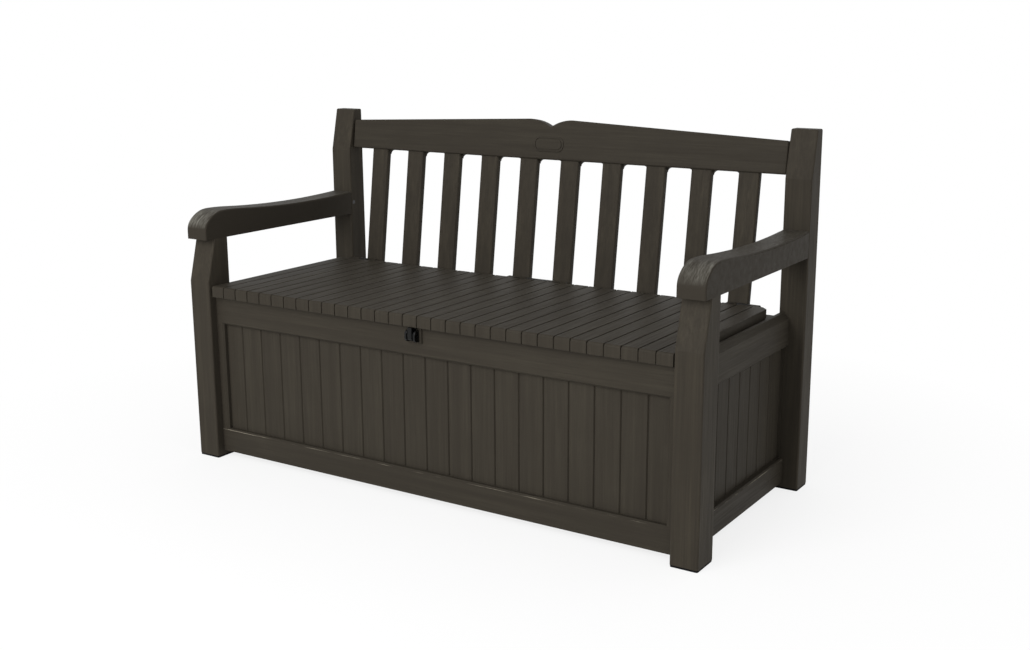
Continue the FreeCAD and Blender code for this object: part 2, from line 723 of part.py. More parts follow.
def side_panel(name, side):
    """An end wall whose boards run on to the rear post and whose top rail has a bevelled lip."""
    face = f"({side} * {SIDE_FACE})"
    inner = f"({side} * {SIDE_INNER})"
    body = panel(f"{name}_side_panel", "YZ", face, -side, (LEG_REAR, POST_FRONT), ("side_stile", "0"),
                 "side_thickness", "side_recess", "side_boards", "side_tongue_setback",
                 solid_from=f"({REAR_INNER} - panel_skin)")
    lip = rectangle((LEG_REAR, POST_FRONT), ("panel_top", "(panel_top + side_lip)"))
    grow(body, draw(body, "YZ", f"({face} - {side} * side_lip_width / 2)", [lip]), "side_lip_width")
    dress(body, "Chamfer", "side_lip_bevel",
          lambda box: (near(box.ZMin, "(panel_top + side_lip)") and near(box.XMin, face)
                       and box.YLength > LONG))
    slot = rectangle(tongue(REAR_FACE, -1, "rear_tongue_setback", "fit_gap"),
                     ("(panel_bottom - fit_gap)", "(panel_top + fit_gap)"))
    cut(body, draw(body, "YZ", inner, [slot]), "tongue_length + fit_gap")


def floor_panel():
    """The floor of the box, which fills it to the walls and has a tab in the lower channel of each wall."""
    body = new_body("floor_panel")
    low = "(panel_bottom + panel_skin)"
    edge_side = f"({SIDE_INNER} - fit_gap)"
    edge_front = f"({FRONT_INNER} + fit_gap)"
    edge_rear = f"({REAR_INNER} - fit_gap)"
    by_leg = f"({LEG_INNER} - fit_gap)"
    behind_leg = f"({LEG_REAR} - fit_gap)"
    tab_side = f"({SIDE_INNER} + floor_reach)"
    tab_front = f"({FRONT_INNER} - floor_reach)"
    tab_rear = f"({REAR_INNER} + floor_reach)"
    side_end = f"({SIDE_INNER} - floor_corner)"
    front_end = f"({FRONT_INNER} + floor_corner)"
    rear_end = f"({REAR_INNER} - floor_corner)"
    right = [(side_end, tab_front), (side_end, edge_front), (by_leg, edge_front), (by_leg, behind_leg),
             (edge_side, behind_leg), (edge_side, front_end), (tab_side, front_end), (tab_side, rear_end),
             (edge_side, rear_end), (edge_side, edge_rear), (side_end, edge_rear), (side_end, tab_rear)]
    left = [(f"-{across}", out) for across, out in reversed(right)]
    grow(body, draw(body, "XY", f"({low} + floor_thickness / 2)", [right + left]), "floor_thickness")
    pitch = f"(2 * {side_end} / (floor_ribs + 1))"
    first = f"({pitch} - {side_end})"
    rib = rectangle(around(first, "floor_rib_width"), (front_end, rear_end))
    sketch = draw(body, "XY", f"({low} - floor_rib_height / 2)", [rib])
    grow(body, sketch, "floor_rib_height")
    repeat(body, body.Tip, "H_Axis", "floor_ribs", pitch)


# Backrest
def lower_rail():
    """The rail behind the rear wall that holds the lower ends of the slats."""
    body = new_body("backrest_lower_rail")
    across = (f"(-{SIDE_INNER})", SIDE_INNER)
    out = (REAR_FACE, POST_FRONT)
    middle = "(panel_top - lower_rail_height / 2)"
    grow(body, draw(body, "XY", middle, [rectangle(across, out)]), "lower_rail_height")
    first = "(-(slats - 1) * slat_pitch / 2)"
    front = f"({REAR_FACE} + lower_mortise_front)"
    mortise = rectangle(around(first, "(slat_width + 2 * fit_gap)"),
                        (front, f"({front} + lower_mortise_width)"))
    feature = cut(body, draw(body, "XY", "panel_top", [mortise]), "lower_mortise_depth")
    repeat(body, feature, "H_Axis", "slats", "slat_pitch")
    seats = lower_screw_places()
    shanks = [(across, up, SCREW_HOLE) for across, _, up in seats]
    cut(body, draw(body, "XZ", POST_FRONT, discs=shanks), f"{POST_FRONT} - {REAR_FACE}")
    heads = [(across, up, HEAD_HOLE) for across, _, up in seats]
    cut(body, draw(body, "XZ", POST_FRONT, discs=heads), "screw_head_height")


def slat(index):
    """One upright slat of the back."""
    body = new_body(f"backrest_slat_{index:02d}")
    lean_back(body)
    centre = f"(({index} - (slats + 1) / 2) * slat_pitch)"
    along = ("(-slat_foot)", "(rail_rise + slat_seat)")
    face = rectangle(around(centre, "slat_width"), along)
    grow(body, draw(body, "XZ", "slat_thickness / 2", [face]), "slat_thickness")
    dress(body, "Fillet", "edge_round", lambda box: box.XLength < SAME and box.YLength < SAME)


def top_rail():
    """The top rail of the back, which rises to two lobes that meet in a notch over the middle."""
    body = new_body("backrest_top_rail")
    lean_back(body)
    peak = "(rail_rise + rail_peak_height)"
    notch = "(rail_rise + rail_notch_height)"
    shoulder = "(rail_rise + rail_end_height)"
    fall = "(rail_peak_height - rail_notch_height)"
    radius = f"((rail_lobe_half * rail_lobe_half + {fall} * {fall}) / (2 * {fall}))"
    crown = f"({peak} - {radius} + sqrt({radius} * {radius} - rail_lobe_half * rail_lobe_half / 4))"
    outline = [(f"-{RAIL_HALF}", "rail_rise"), (RAIL_HALF, "rail_rise"), (RAIL_HALF, shoulder),
               ("rail_lobe_half", peak), Via("rail_lobe_half / 2", crown), ("0", notch),
               Via("-rail_lobe_half / 2", crown), ("-rail_lobe_half", peak), (f"-{RAIL_HALF}", shoulder)]
    grow(body, draw(body, "XZ", TENON_MIDDLE, [outline]), "rail_thickness")
    dress(body, "Fillet", "rail_end_round",
          lambda box: near(abs(box.XMin), RAIL_HALF) and near(box.ZMin, shoulder) and box.YLength > LONG)
    dress(body, "Fillet", "edge_round",
          lambda box: box.YLength < SAME and max(box.XLength, box.ZLength) > LONG)
    first = "(-(slats - 1) * slat_pitch / 2)"
    mortise = rectangle(around(first, "(slat_width + 2 * fit_gap)"),
                        ("(-fit_gap)", "(slat_thickness + fit_gap)"))
    feature = cut(body, draw(body, "XY", "rail_rise", [mortise]), "slat_seat + fit_gap")
    repeat(body, feature, "H_Axis", "slats", "slat_pitch")
    along = around(TENON_CENTRE, "rail_tenon_height")
    for side in SIDES.values():
        ends = sorted((f"{side} * {RAIL_HALF}", f"{side} * ({LEG_INNER} + rail_tenon_length)"), key=number)
        tenon = draw(body, "XZ", TENON_MIDDLE, [rectangle(ends, along)])
        grow(body, tenon, "rail_tenon_thickness")
    spots = [(f"{side} * ({LEG_INNER} + rail_tenon_length / 2)", height, "(screw_radius + lean_slack)")
             for side in SIDES.values() for height in around(TENON_CENTRE, "rail_screw_spacing")]
    cut(body, draw(body, "XZ", TENON_MIDDLE, discs=spots), "rail_tenon_thickness")


def badge_plate():
    """The bare plate on the front of the top rail."""
    body = new_body("badge_plate")
    lean_back(body)
    low = "(rail_rise + badge_rise)"
    face = rectangle(around("0", "badge_width"), (low, f"({low} + badge_height)"))
    grow(body, draw(body, "XZ", "(-rail_proud - badge_thickness / 2)", [face]), "badge_thickness")
    dress(body, "Fillet", "badge_round", lambda box: box.XLength < SAME and box.ZLength < SAME)


# Lid, hinges and lock
def seat_lid():
    """The hinged seat: planks with a rounded front, ribbed underneath, with its hinge knuckles."""
    body = new_body("seat_lid")
    half_corner = f"({LID_HALF} - lid_corner)"
    rear_corner = f"({LID_REAR} - lid_corner)"
    outline = [(f"-{LID_HALF}", LID_FRONT), (LID_HALF, LID_FRONT), (LID_HALF, rear_corner),
               (half_corner, LID_REAR), (f"-{half_corner}", LID_REAR), (f"-{LID_HALF}", rear_corner)]
    grow(body, draw(body, "XY", "(panel_top + lid_height / 2)", [outline]), "lid_height")
    dress(body, "Fillet", "lid_nose", lambda box: near(box.ZMin, LID_TOP) and near(box.YMax, LID_FRONT))
    hollow_lid(body, half_corner, rear_corner)
    add_plank_grooves(body)
    tab_low = f"({LID_TOP} - hinge_tab)"
    for _, middle, half, knuckle in hinges():
        for side in SIDES.values():
            centre = f"({middle} + {side} * ({half} + {knuckle} + knuckle_play) / 2)"
            profile = [(LID_REAR, tab_low), (HINGE_Y, f"({HINGE_Z} - knuckle_radius)"),
                       Via(f"({HINGE_Y} + knuckle_radius)", HINGE_Z), (HINGE_Y, LID_TOP), (LID_REAR, LID_TOP)]
            grow(body, draw(body, "YZ", centre, [profile]), f"{half} - {knuckle} - knuckle_play")
    bore = (HINGE_Y, HINGE_Z, "(pin_radius + pin_play)")
    cut(body, draw(body, "YZ", "0", discs=[bore]), LID_HALF)
    pilots = [(across, up, SCREW_HOLE) for across, _, up in hasp_screw_places()]
    cut(body, draw(body, "XZ", LIP_INNER, discs=pilots), "hasp_screw_length - hasp_plate + fit_gap")


def hollow_lid(body, half_corner, rear_corner):
    """Hollow the lid from below, leaving ribs, a rest over the front wall and room over the hinge feet."""
    depth = "lid_height - lid_deck"
    pitch = f"((2 * {LID_HALF} - lid_wall) / lid_cells)"
    across = (f"(lid_wall - {LID_HALF})", f"({pitch} - {LID_HALF})")
    rest = f"({FRONT_FACE} + lid_wall)"
    cell = [rectangle(across, (LIP_INNER, rest)),
            rectangle(across, (f"({rest} + lid_rest_rib)", f"({rear_corner} - lid_wall)"))]
    feature = cut(body, draw(body, "XY", "panel_top", cell), depth)
    repeat(body, feature, "H_Axis", "lid_cells", pitch)
    channel = rectangle((f"(lid_wall - {half_corner})", f"({half_corner} - lid_wall)"),
                        (rear_corner, f"({LID_REAR} - lid_wall)"))
    cut(body, draw(body, "XY", "panel_top", [channel]), depth)
    relief = rectangle((f"(-{LEG_INNER})", LEG_INNER), (f"({REAR_INNER} - lid_wall)", HINGE_Y))
    cut(body, draw(body, "XY", "panel_top", [relief]), "hinge_plate + lid_rear_gap")


def add_plank_grooves(body):
    """Cut the grooves that part the planks, along the top, round the nose and down the lip."""
    first = f"(-(planks / 2 - 1) * {PLANK_PITCH})"
    outside = f"({LID_FRONT} - plank_gap)"
    above = f"({LID_TOP} + plank_gap)"
    below = "(panel_top - plank_gap)"
    floor_line = f"({LID_TOP} - plank_groove_depth)"
    lip_line = f"({LID_FRONT} + plank_groove_depth)"
    nose_y = f"({LID_FRONT} + lid_nose)"
    nose_z = f"({LID_TOP} - lid_nose)"
    nose_radius = "(lid_nose - plank_groove_depth)"
    bend = Via(f"({nose_y} - {nose_radius} * cos(45))", f"({nose_z} + {nose_radius} * sin(45))")
    behind = f"({LID_REAR} + plank_gap)"
    profile = [(behind, above), (outside, above), (outside, below), (lip_line, below),
               (lip_line, nose_z), bend, (nose_y, floor_line), (behind, floor_line)]
    feature = cut(body, draw(body, "YZ", first, [profile]), "plank_gap / 2")
    repeat(body, feature, "N_Axis", "planks - 1", PLANK_PITCH)


def hinge_bracket(name, middle, half, knuckle):
    """A hinge foot on the rear wall, with the fixed knuckle of the hinge."""
    body = new_body(f"{name}_hinge_bracket")
    plate_top = "(panel_top + hinge_plate)"
    plate = rectangle((REAR_INNER, f"({REAR_INNER} + hinge_foot_front)"), ("panel_top", plate_top))
    grow(body, draw(body, "YZ", middle, [plate]), f"2 * {half}")
    neck = rectangle(around(HINGE_Y, "hinge_neck"), ("panel_top", HINGE_Z))
    sole = rectangle((f"({REAR_INNER} + hinge_foot_front)", f"({HINGE_Y} + hinge_foot_rear)"),
                     ("panel_top", plate_top))
    for piece in (neck, sole):
        grow(body, draw(body, "YZ", middle, [piece]), f"2 * {knuckle}")
    grow(body, draw(body, "YZ", middle, discs=[(HINGE_Y, HINGE_Z, "knuckle_radius")]), f"2 * {knuckle}")
    bore = (HINGE_Y, HINGE_Z, "(pin_radius + pin_play)")
    cut(body, draw(body, "YZ", middle, discs=[bore]), knuckle)
    own = [place for place in hinge_screw_places() if abs(number(f"{place[0]} - {middle}")) < number(half)]
    holes = [(across, out, SCREW_HOLE) for across, out, _ in own]
    cut(body, draw(body, "XY", plate_top, discs=holes), "hinge_plate")


def hinge_pin(name, middle, half):
    """The steel pin through the knuckles of one hinge."""
    pin = doc.addObject("Part::Cylinder", f"{name}_hinge_pin")
    pin.Label = f"{name}_hinge_pin"
    pin.setExpression("Radius", bound("pin_radius"))
    pin.setExpression("Height", bound(f"2 * {half}"))
    along = FreeCAD.Rotation(FreeCAD.Vector(0, 1, 0), 90)
    pin.Placement = FreeCAD.Placement(FreeCAD.Vector(), along)
    for axis, text in zip("xyz", (f"{middle} - {half}", HINGE_Y, HINGE_Z)):
        pin.setExpression(f"Placement.Base.{axis}", bound(text))
    nodes.append(pin)


def lock_eye():
    """The two-eared eye on the boss, held by pegs, with a hole for a padlock."""
    body = new_body("lock_eye")
    plate_face = f"({BOSS_FACE} - eye_plate)"
    half_ear = "(eye_ear_height / 2)"
    reach = f"({LOCK_Y} - eye_nose_radius)"
    span = "(eye_ear_gap + 2 * eye_ear_width)"
    back = rectangle(around(LOCK_X, span), around(LOCK_Z, "eye_ear_height"))
    grow(body, draw(body, "XZ", f"(({BOSS_FACE} + {plate_face}) / 2)", [back]), "eye_plate")
    ear = [(plate_face, f"({LOCK_Z} - {half_ear})"), (plate_face, f"({LOCK_Z} + {half_ear})"),
           (LOCK_Y, f"({LOCK_Z} + eye_nose_radius)"), Via(reach, LOCK_Z),
           (LOCK_Y, f"({LOCK_Z} - eye_nose_radius)")]
    for centre in around(LOCK_X, "(eye_ear_gap + eye_ear_width)"):
        grow(body, draw(body, "YZ", centre, [ear]), "eye_ear_width")
    cut(body, draw(body, "YZ", LOCK_X, discs=[(LOCK_Y, LOCK_Z, "lock_hole_radius")]), span)
    pegs = [(LOCK_X, height, "eye_peg_radius") for height in around(LOCK_Z, "eye_peg_spacing")]
    grow(body, draw(body, "XZ", f"({BOSS_FACE} + eye_peg_length / 2)", discs=pegs), "eye_peg_length")


def lid_hasp():
    """The tongue under the lid's lip that hangs between the ears of the eye."""
    body = new_body("lid_hasp")
    tongue_back = f"({LIP_INNER} + hasp_plate)"
    tongue_front = f"({FRONT} + hasp_front_inset)"
    flange_top = "(panel_top + hasp_flange_height)"
    flange = rectangle(around(LOCK_X, "hasp_width"), ("(panel_top - hasp_flange_drop)", flange_top))
    grow(body, draw(body, "XZ", f"({LIP_INNER} + hasp_plate / 2)", [flange]), "hasp_plate")
    profile = [(LIP_INNER, "panel_top"), (tongue_front, "panel_top"), (tongue_front, LOCK_Z),
               Via(f"(({tongue_front} + {tongue_back}) / 2)", f"({LOCK_Z} - hasp_drop)"),
               (tongue_back, LOCK_Z), (tongue_back, flange_top), (LIP_INNER, flange_top)]
    grow(body, draw(body, "YZ", LOCK_X, [profile]), "hasp_tongue")
    cut(body, draw(body, "YZ", LOCK_X, discs=[(LOCK_Y, LOCK_Z, "lock_hole_radius")]), "hasp_tongue")
    holes = [(across, up, SCREW_HOLE) for across, _, up in hasp_screw_places()]
    cut(body, draw(body, "XZ", tongue_back, discs=holes), "hasp_plate")


def build_bench():
    """Make every piece of the bench."""
    fill_sheet()
    for name, side in SIDES.items():
        foot("front", name, side)
        foot("rear", name, side)
        front_leg(name, side)
        rear_post(name, side)
        armrest(name, side)
        side_panel(name, side)
    front_panel()
    rear_panel()
    floor_panel()
    lower_rail()
    for index in range(1, int(number("slats")) + 1):
        slat(index)
    top_rail()
    badge_plate()
    seat_lid()
    for name, middle, half, knuckle in hinges():
        hinge_bracket(name, middle, half, knuckle)
        hinge_pin(name, middle, half)
    lock_eye()
    lid_hasp()
    arm_seats = [(f"{side} * ({LEG_INNER} + screw_head_height)", *arm_screw_spot())
                 for side in SIDES.values()]
    screw_group("armrest_screws", "arm_screw_length", arm_seats, outward)
    screw_group("backrest_rail_screws", "rail_screw_length", rail_screw_places(), facing(0, -1, 0))
    screw_group("lower_rail_screws", "lower_screw_length", lower_screw_places(), facing(0, -1, 0))
    screw_group("hinge_screws", "hinge_screw_length", hinge_screw_places(), facing(0, 0, -1))
    screw_group("hasp_screws", "hasp_screw_length", hasp_screw_places(), facing(0, -1, 0))


def export_nodes():
    """Check every object, then write each node to a file named after it."""
    doc.recompute()
    failed = [item.Label for item in doc.Objects if {"Invalid", "Error"} & set(item.State)]
    broken = [node.Label for node in nodes if node.Shape.isNull() or not node.Shape.isValid()]
    if failed or broken:
        raise RuntimeError(f"failed objects {failed}, broken shapes {broken}")
    os.makedirs("parts", exist_ok=True)
    for node in nodes:
        node.Shape.exportStep(f"parts/{node.Label}.step")


build_bench()
export_nodes()
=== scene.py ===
"""Studio scene of an outdoor storage bench with a lifting seat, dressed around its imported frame."""
import logging
import math
from collections.abc import Callable
from dataclasses import dataclass
from enum import Enum

import bpy
from mathutils import Matrix, Vector


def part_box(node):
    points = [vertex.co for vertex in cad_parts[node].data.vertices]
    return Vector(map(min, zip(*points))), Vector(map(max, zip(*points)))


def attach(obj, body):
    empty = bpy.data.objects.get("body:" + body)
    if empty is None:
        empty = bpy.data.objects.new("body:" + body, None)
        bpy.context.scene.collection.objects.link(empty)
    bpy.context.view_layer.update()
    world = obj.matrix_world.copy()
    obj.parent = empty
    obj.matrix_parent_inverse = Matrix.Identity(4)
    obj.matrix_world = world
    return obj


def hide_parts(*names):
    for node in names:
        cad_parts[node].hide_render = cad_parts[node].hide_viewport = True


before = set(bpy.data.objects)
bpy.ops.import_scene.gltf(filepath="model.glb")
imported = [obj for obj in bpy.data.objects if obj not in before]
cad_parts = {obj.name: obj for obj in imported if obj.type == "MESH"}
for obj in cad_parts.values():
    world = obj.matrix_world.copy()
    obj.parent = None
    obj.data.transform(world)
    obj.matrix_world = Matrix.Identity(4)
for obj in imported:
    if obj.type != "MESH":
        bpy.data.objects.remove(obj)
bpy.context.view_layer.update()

LOG = logging.getLogger("storage_bench")
# Metres in a millimetre, and the distance within which two places are one.
MM = 0.001
NEAR = 0.05 * MM
# Least share of a direction that counts as along an axis, and greatest that counts as square to it.
ALONG = 0.99
ACROSS = 0.1
# Turn between two faces below which their edge is shaded smooth.
SMOOTH_ANGLE = math.radians(35)
# Angle in degrees by which the back leans.
BACK_LEAN = 7.69
# Painted highlight on the lower rail, a thin pale line where its top edge catches the light: its distance
# below the rail's edge and its width in millimetres, its colour, and the heights of the grain between which
# it sets in.
EDGE_HIGHLIGHT_DROP = 3.4
EDGE_HIGHLIGHT_WIDTH = 1.0
EDGE_HIGHLIGHT_TONE = "#7e786b"
EDGE_HIGHLIGHT_SETS_IN = (0.48, 0.6)
# Shares of the light's direction between which a face gets the painted highlight.
HIGHLIGHT_FACING = (0.74, 1.05)
# Values between which most of the grain's noise lies.
NOISE_SPAN = (0.3, 0.7)
# Sockets of the mix node: its two colours and the mixed one, its two vectors and the mixed one.
COLOUR_A, COLOUR_B, MIXED_COLOUR = 6, 7, 2
VECTOR_A, VECTOR_B, MIXED_VECTOR = 4, 5, 1


class Grain(Enum):
    """Way the moulded wood grain runs: how far each axis of the pattern is drawn out."""

    ALONG_X = (0.03, 1.0, 1.0)
    ALONG_Y = (1.0, 0.03, 1.0)
    ALONG_Z = (1.0, 1.0, 0.03)
    OVER_NOSE = (1.0, 0.03, 0.03)
    SHORT_OVER_NOSE = (1.0, 0.15, 0.15)


def linear_colour(code: str) -> tuple[float, float, float, float]:
    """Turn an sRGB hex colour into the linear colour that shaders use.

    Args:
        code: Colour as "#rrggbb".

    Returns:
        Red, green, blue and alpha, each from 0 to 1.
    """
    channels = [int(code[start:start + 2], 16) / 255 for start in (1, 3, 5)]
    linear = [c / 12.92 if c <= 0.04045 else ((c + 0.055) / 1.055) ** 2.4 for c in channels]
    return linear[0], linear[1], linear[2], 1.0


def add_node(tree: bpy.types.NodeTree, kind: str, inputs: dict | None = None, **settings) -> bpy.types.Node:
    """Add a shader node with its settings, values and links.

    Args:
        tree: Node tree that gets the node.
        kind: Blender's type name of the node.
        inputs: Value, or output socket to link from, by input name or number.
        **settings: Properties of the node itself.

    Returns:
        The new node.
    """
    node = tree.nodes.new(kind)
    for name, value in settings.items():
        setattr(node, name, value)
    for key, value in (inputs or {}).items():
        if isinstance(value, bpy.types.NodeSocket):
            tree.links.new(value, node.inputs[key])
        else:
            node.inputs[key].default_value = value
    return node


def empty_material(name: str) -> bpy.types.Material:
    """Make a material whose node tree is still bare.

    Args:
        name: Name of the real material.

    Returns:
        The new material.
    """
    material = bpy.data.materials.new(name)
    material.use_nodes = True
    material.node_tree.nodes.clear()
    return material


@dataclass(frozen=True)
class Boards:
    """Row of boards, each with a grain of its own. Sizes in millimetres.

    Attributes:
        axis: Axis across the boards.
        pitch: Distance from board to board.
        start: Place of one of the joints between them.
    """

    axis: int
    pitch: float
    start: float = 0.0


@dataclass(frozen=True)
class GrainedResin:
    """Polypropylene moulded with a wood grain: dark, dull and streaked along the board.

    Attributes:
        name: Name of the material.
        grain: Way the grain runs on the boards.
        boards: Row of boards, or None where there is a single one.
        rail_grain: Way the grain runs on the rails above and below the boards, if there are any.
        rail_zone: Heights in millimetres between which the boards show.
        tone: Colour of the resin.
        pale_tone: Colour of the pale crests of the grain, and on the arms the colour of the painted
            highlight.
        streaks: Share of the pale colour on the crests.
        fibre: Width of the fibres in millimetres, drawn wider than the real ones so that they show.
        figure: Width of the broad figure of the board in millimetres.
        patch: Size of the weathered patches in millimetres.
        gloss: Strength of the sheen.
        highlight_way: Direction that the faces with the painted highlight look in, towards the light, or None
            where the pale crests cover the whole piece.
        crests: Heights of the relief between which the pale colour sets in.
        roughness: Roughness in the hollows and on the crests of the fibres.
        depth: Depth of the grain in millimetres.
    """

    name: str
    grain: Grain
    boards: Boards | None = None
    rail_grain: Grain | None = None
    rail_zone: tuple[float, float] = (0.0, 0.0)
    tone: str = "#302c26"
    pale_tone: str = "#48443a"
    streaks: float = 0.45
    fibre: float = 4.0
    figure: float = 22.0
    patch: float = 120.0
    gloss: float = 0.05
    highlight_way: tuple[float, float, float] | None = None
    crests: tuple[float, float] = (0.14, 0.42)
    roughness: tuple[float, float] = (0.62, 0.46)
    depth: float = 0.9

    def build(self) -> bpy.types.Material:
        """Make the material.

        Returns:
            The finished material.
        """
        material = empty_material(self.name)
        tree = material.node_tree
        texture = add_node(tree, "ShaderNodeTexCoord")
        place = texture.outputs["Object"]
        axes = add_node(tree, "ShaderNodeSeparateXYZ", {"Vector": place})
        along = self._pattern_place(tree, place, axes)
        fibres = add_node(tree, "ShaderNodeTexNoise", {
            "Vector": along, "Scale": 1 / (self.fibre * MM), "Detail": 5.0, "Roughness": 0.62,
            "Distortion": 0.3})
        figure = add_node(tree, "ShaderNodeTexNoise", {
            "Vector": along, "Scale": 1 / (self.figure * MM), "Detail": 2.0, "Roughness": 0.5,
            "Distortion": 0.8})
        patches = add_node(tree, "ShaderNodeTexNoise", {
            "Vector": place, "Scale": 1 / (self.patch * MM), "Detail": 2.0, "Roughness": 0.5})
        relief = add_node(tree, "ShaderNodeMath", {
            0: fibres.outputs["Fac"], 1: figure.outputs["Fac"]}, operation="MULTIPLY")
        crests = add_node(tree, "ShaderNodeMapRange", {
            "Value": relief.outputs["Value"], "From Min": self.crests[0], "From Max": self.crests[1],
            "To Max": self.streaks})
        pale_share = add_node(tree, "ShaderNodeMath", {
            0: crests.outputs["Result"], 1: patches.outputs["Fac"]}, operation="MULTIPLY")
        # Painted highlight: the pale crests are kept to the faces that look towards the light.
        if self.highlight_way is not None:
            pale_share = self._painted_highlight_faces(tree, texture.outputs["Normal"], pale_share.outputs["Value"])
        colour = add_node(tree, "ShaderNodeMix", {
            "Factor": pale_share.outputs["Value"], COLOUR_A: linear_colour(self.tone),
            COLOUR_B: linear_colour(self.pale_tone)}, data_type="RGBA")
        # Painted highlight: a thin pale line along the top edge of the lower rail.
        if self.rail_grain is not None:
            colour = self._painted_edge_highlight(
                tree, axes.outputs["Z"], fibres.outputs["Fac"], colour.outputs[MIXED_COLOUR])
        rough = add_node(tree, "ShaderNodeMapRange", {
            "Value": fibres.outputs["Fac"], "From Min": NOISE_SPAN[0], "From Max": NOISE_SPAN[1],
            "To Min": self.roughness[0], "To Max": self.roughness[1]})
        bump = add_node(tree, "ShaderNodeBump", {
            "Strength": 0.45, "Distance": self.depth * MM, "Height": relief.outputs["Value"]})
        shader = add_node(tree, "ShaderNodeBsdfPrincipled", {
            "Base Color": colour.outputs[MIXED_COLOUR], "Roughness": rough.outputs["Result"], "IOR": 1.49,
            "Specular IOR Level": self.gloss, "Normal": bump.outputs["Normal"]})
        add_node(tree, "ShaderNodeOutputMaterial", {"Surface": shader.outputs["BSDF"]})
        return material

    def _painted_highlight_faces(self, tree: bpy.types.NodeTree, normal: bpy.types.NodeSocket,
                      pale_share: bpy.types.NodeSocket) -> bpy.types.Node:
        """Keep the pale crests to where the surface faces the light, as a painted highlight.

        Args:
            tree: Node tree of the material.
            normal: Normal of the surface on the object.
            pale_share: Share of the pale colour.

        Returns:
            Node that gives the share of the pale colour on the faces with the painted highlight alone.
        """
        facing = add_node(tree, "ShaderNodeVectorMath", {
            0: normal, 1: self.highlight_way}, operation="DOT_PRODUCT")
        kept = add_node(tree, "ShaderNodeMapRange", {
            "Value": facing.outputs["Value"], "From Min": HIGHLIGHT_FACING[0], "From Max": HIGHLIGHT_FACING[1]})
        return add_node(tree, "ShaderNodeMath", {0: pale_share, 1: kept.outputs["Result"]}, operation="MULTIPLY")

    def _painted_edge_highlight(self, tree: bpy.types.NodeTree, height: bpy.types.NodeSocket,
                     fibres: bpy.types.NodeSocket, colour: bpy.types.NodeSocket) -> bpy.types.Node:
        """Paint a highlight on the upper edge of the lower rail, in a thin pale line broken by the grain,
        where the edge catches the light.

        Args:
            tree: Node tree of the material.
            height: Height on the object.
            fibres: Relief of the grain's fibres.
            colour: Colour of the surface elsewhere.

        Returns:
            Node that gives the colour with the painted highlight on the edge.
        """
        edge = add_node(tree, "ShaderNodeMath", {
            0: height, 1: (self.rail_zone[0] - EDGE_HIGHLIGHT_DROP) * MM, 2: EDGE_HIGHLIGHT_WIDTH / 2 * MM}, operation="COMPARE")
        broken = add_node(tree, "ShaderNodeMapRange", {
            "Value": fibres, "From Min": EDGE_HIGHLIGHT_SETS_IN[0], "From Max": EDGE_HIGHLIGHT_SETS_IN[1]})
        highlighted = add_node(tree, "ShaderNodeMath", {
            0: edge.outputs["Value"], 1: broken.outputs["Result"]}, operation="MULTIPLY")
        return add_node(tree, "ShaderNodeMix", {
            "Factor": highlighted.outputs["Value"], COLOUR_A: colour, COLOUR_B: linear_colour(EDGE_HIGHLIGHT_TONE)},
            data_type="RGBA")

    def _pattern_place(self, tree: bpy.types.NodeTree, place: bpy.types.NodeSocket,
                       axes: bpy.types.Node) -> bpy.types.NodeSocket:
        """Give the place in the pattern: drawn out along the grain, and moved on from board to board.

        Args:
            tree: Node tree of the material.
            place: Place on the object.
            axes: Node that splits the place into its three axes.

        Returns:
            Socket with the place in the pattern.
        """
        drawn = add_node(tree, "ShaderNodeMapping", {"Vector": place, "Scale": self.grain.value})
        along = drawn.outputs["Vector"]
        if self.boards is not None:
            past = add_node(tree, "ShaderNodeMath", {
                0: axes.outputs[self.boards.axis], 1: self.boards.start * MM}, operation="SUBTRACT")
            board = add_node(tree, "ShaderNodeMath", {
                0: past.outputs["Value"], 1: self.boards.pitch * MM}, operation="DIVIDE")
            number = add_node(tree, "ShaderNodeMath", {0: board.outputs["Value"]}, operation="FLOOR")
            step = add_node(tree, "ShaderNodeTexWhiteNoise", {
                "W": number.outputs["Value"]}, noise_dimensions="1D")
            moved = add_node(tree, "ShaderNodeVectorMath", {
                0: along, 1: step.outputs["Color"]}, operation="ADD")
            along = moved.outputs["Vector"]
        if self.rail_grain is None:
            return along
        rails = add_node(tree, "ShaderNodeMapping", {"Vector": place, "Scale": self.rail_grain.value})
        middle = (self.rail_zone[0] + self.rail_zone[1]) / 2 * MM
        half = (self.rail_zone[1] - self.rail_zone[0]) / 2 * MM
        on_boards = add_node(tree, "ShaderNodeMath", {
            0: axes.outputs["Z"], 1: middle, 2: half}, operation="COMPARE")
        chosen = add_node(tree, "ShaderNodeMix", {
            "Factor": on_boards.outputs["Value"], VECTOR_A: rails.outputs["Vector"], VECTOR_B: along},
            data_type="VECTOR")
        return chosen.outputs[MIXED_VECTOR]


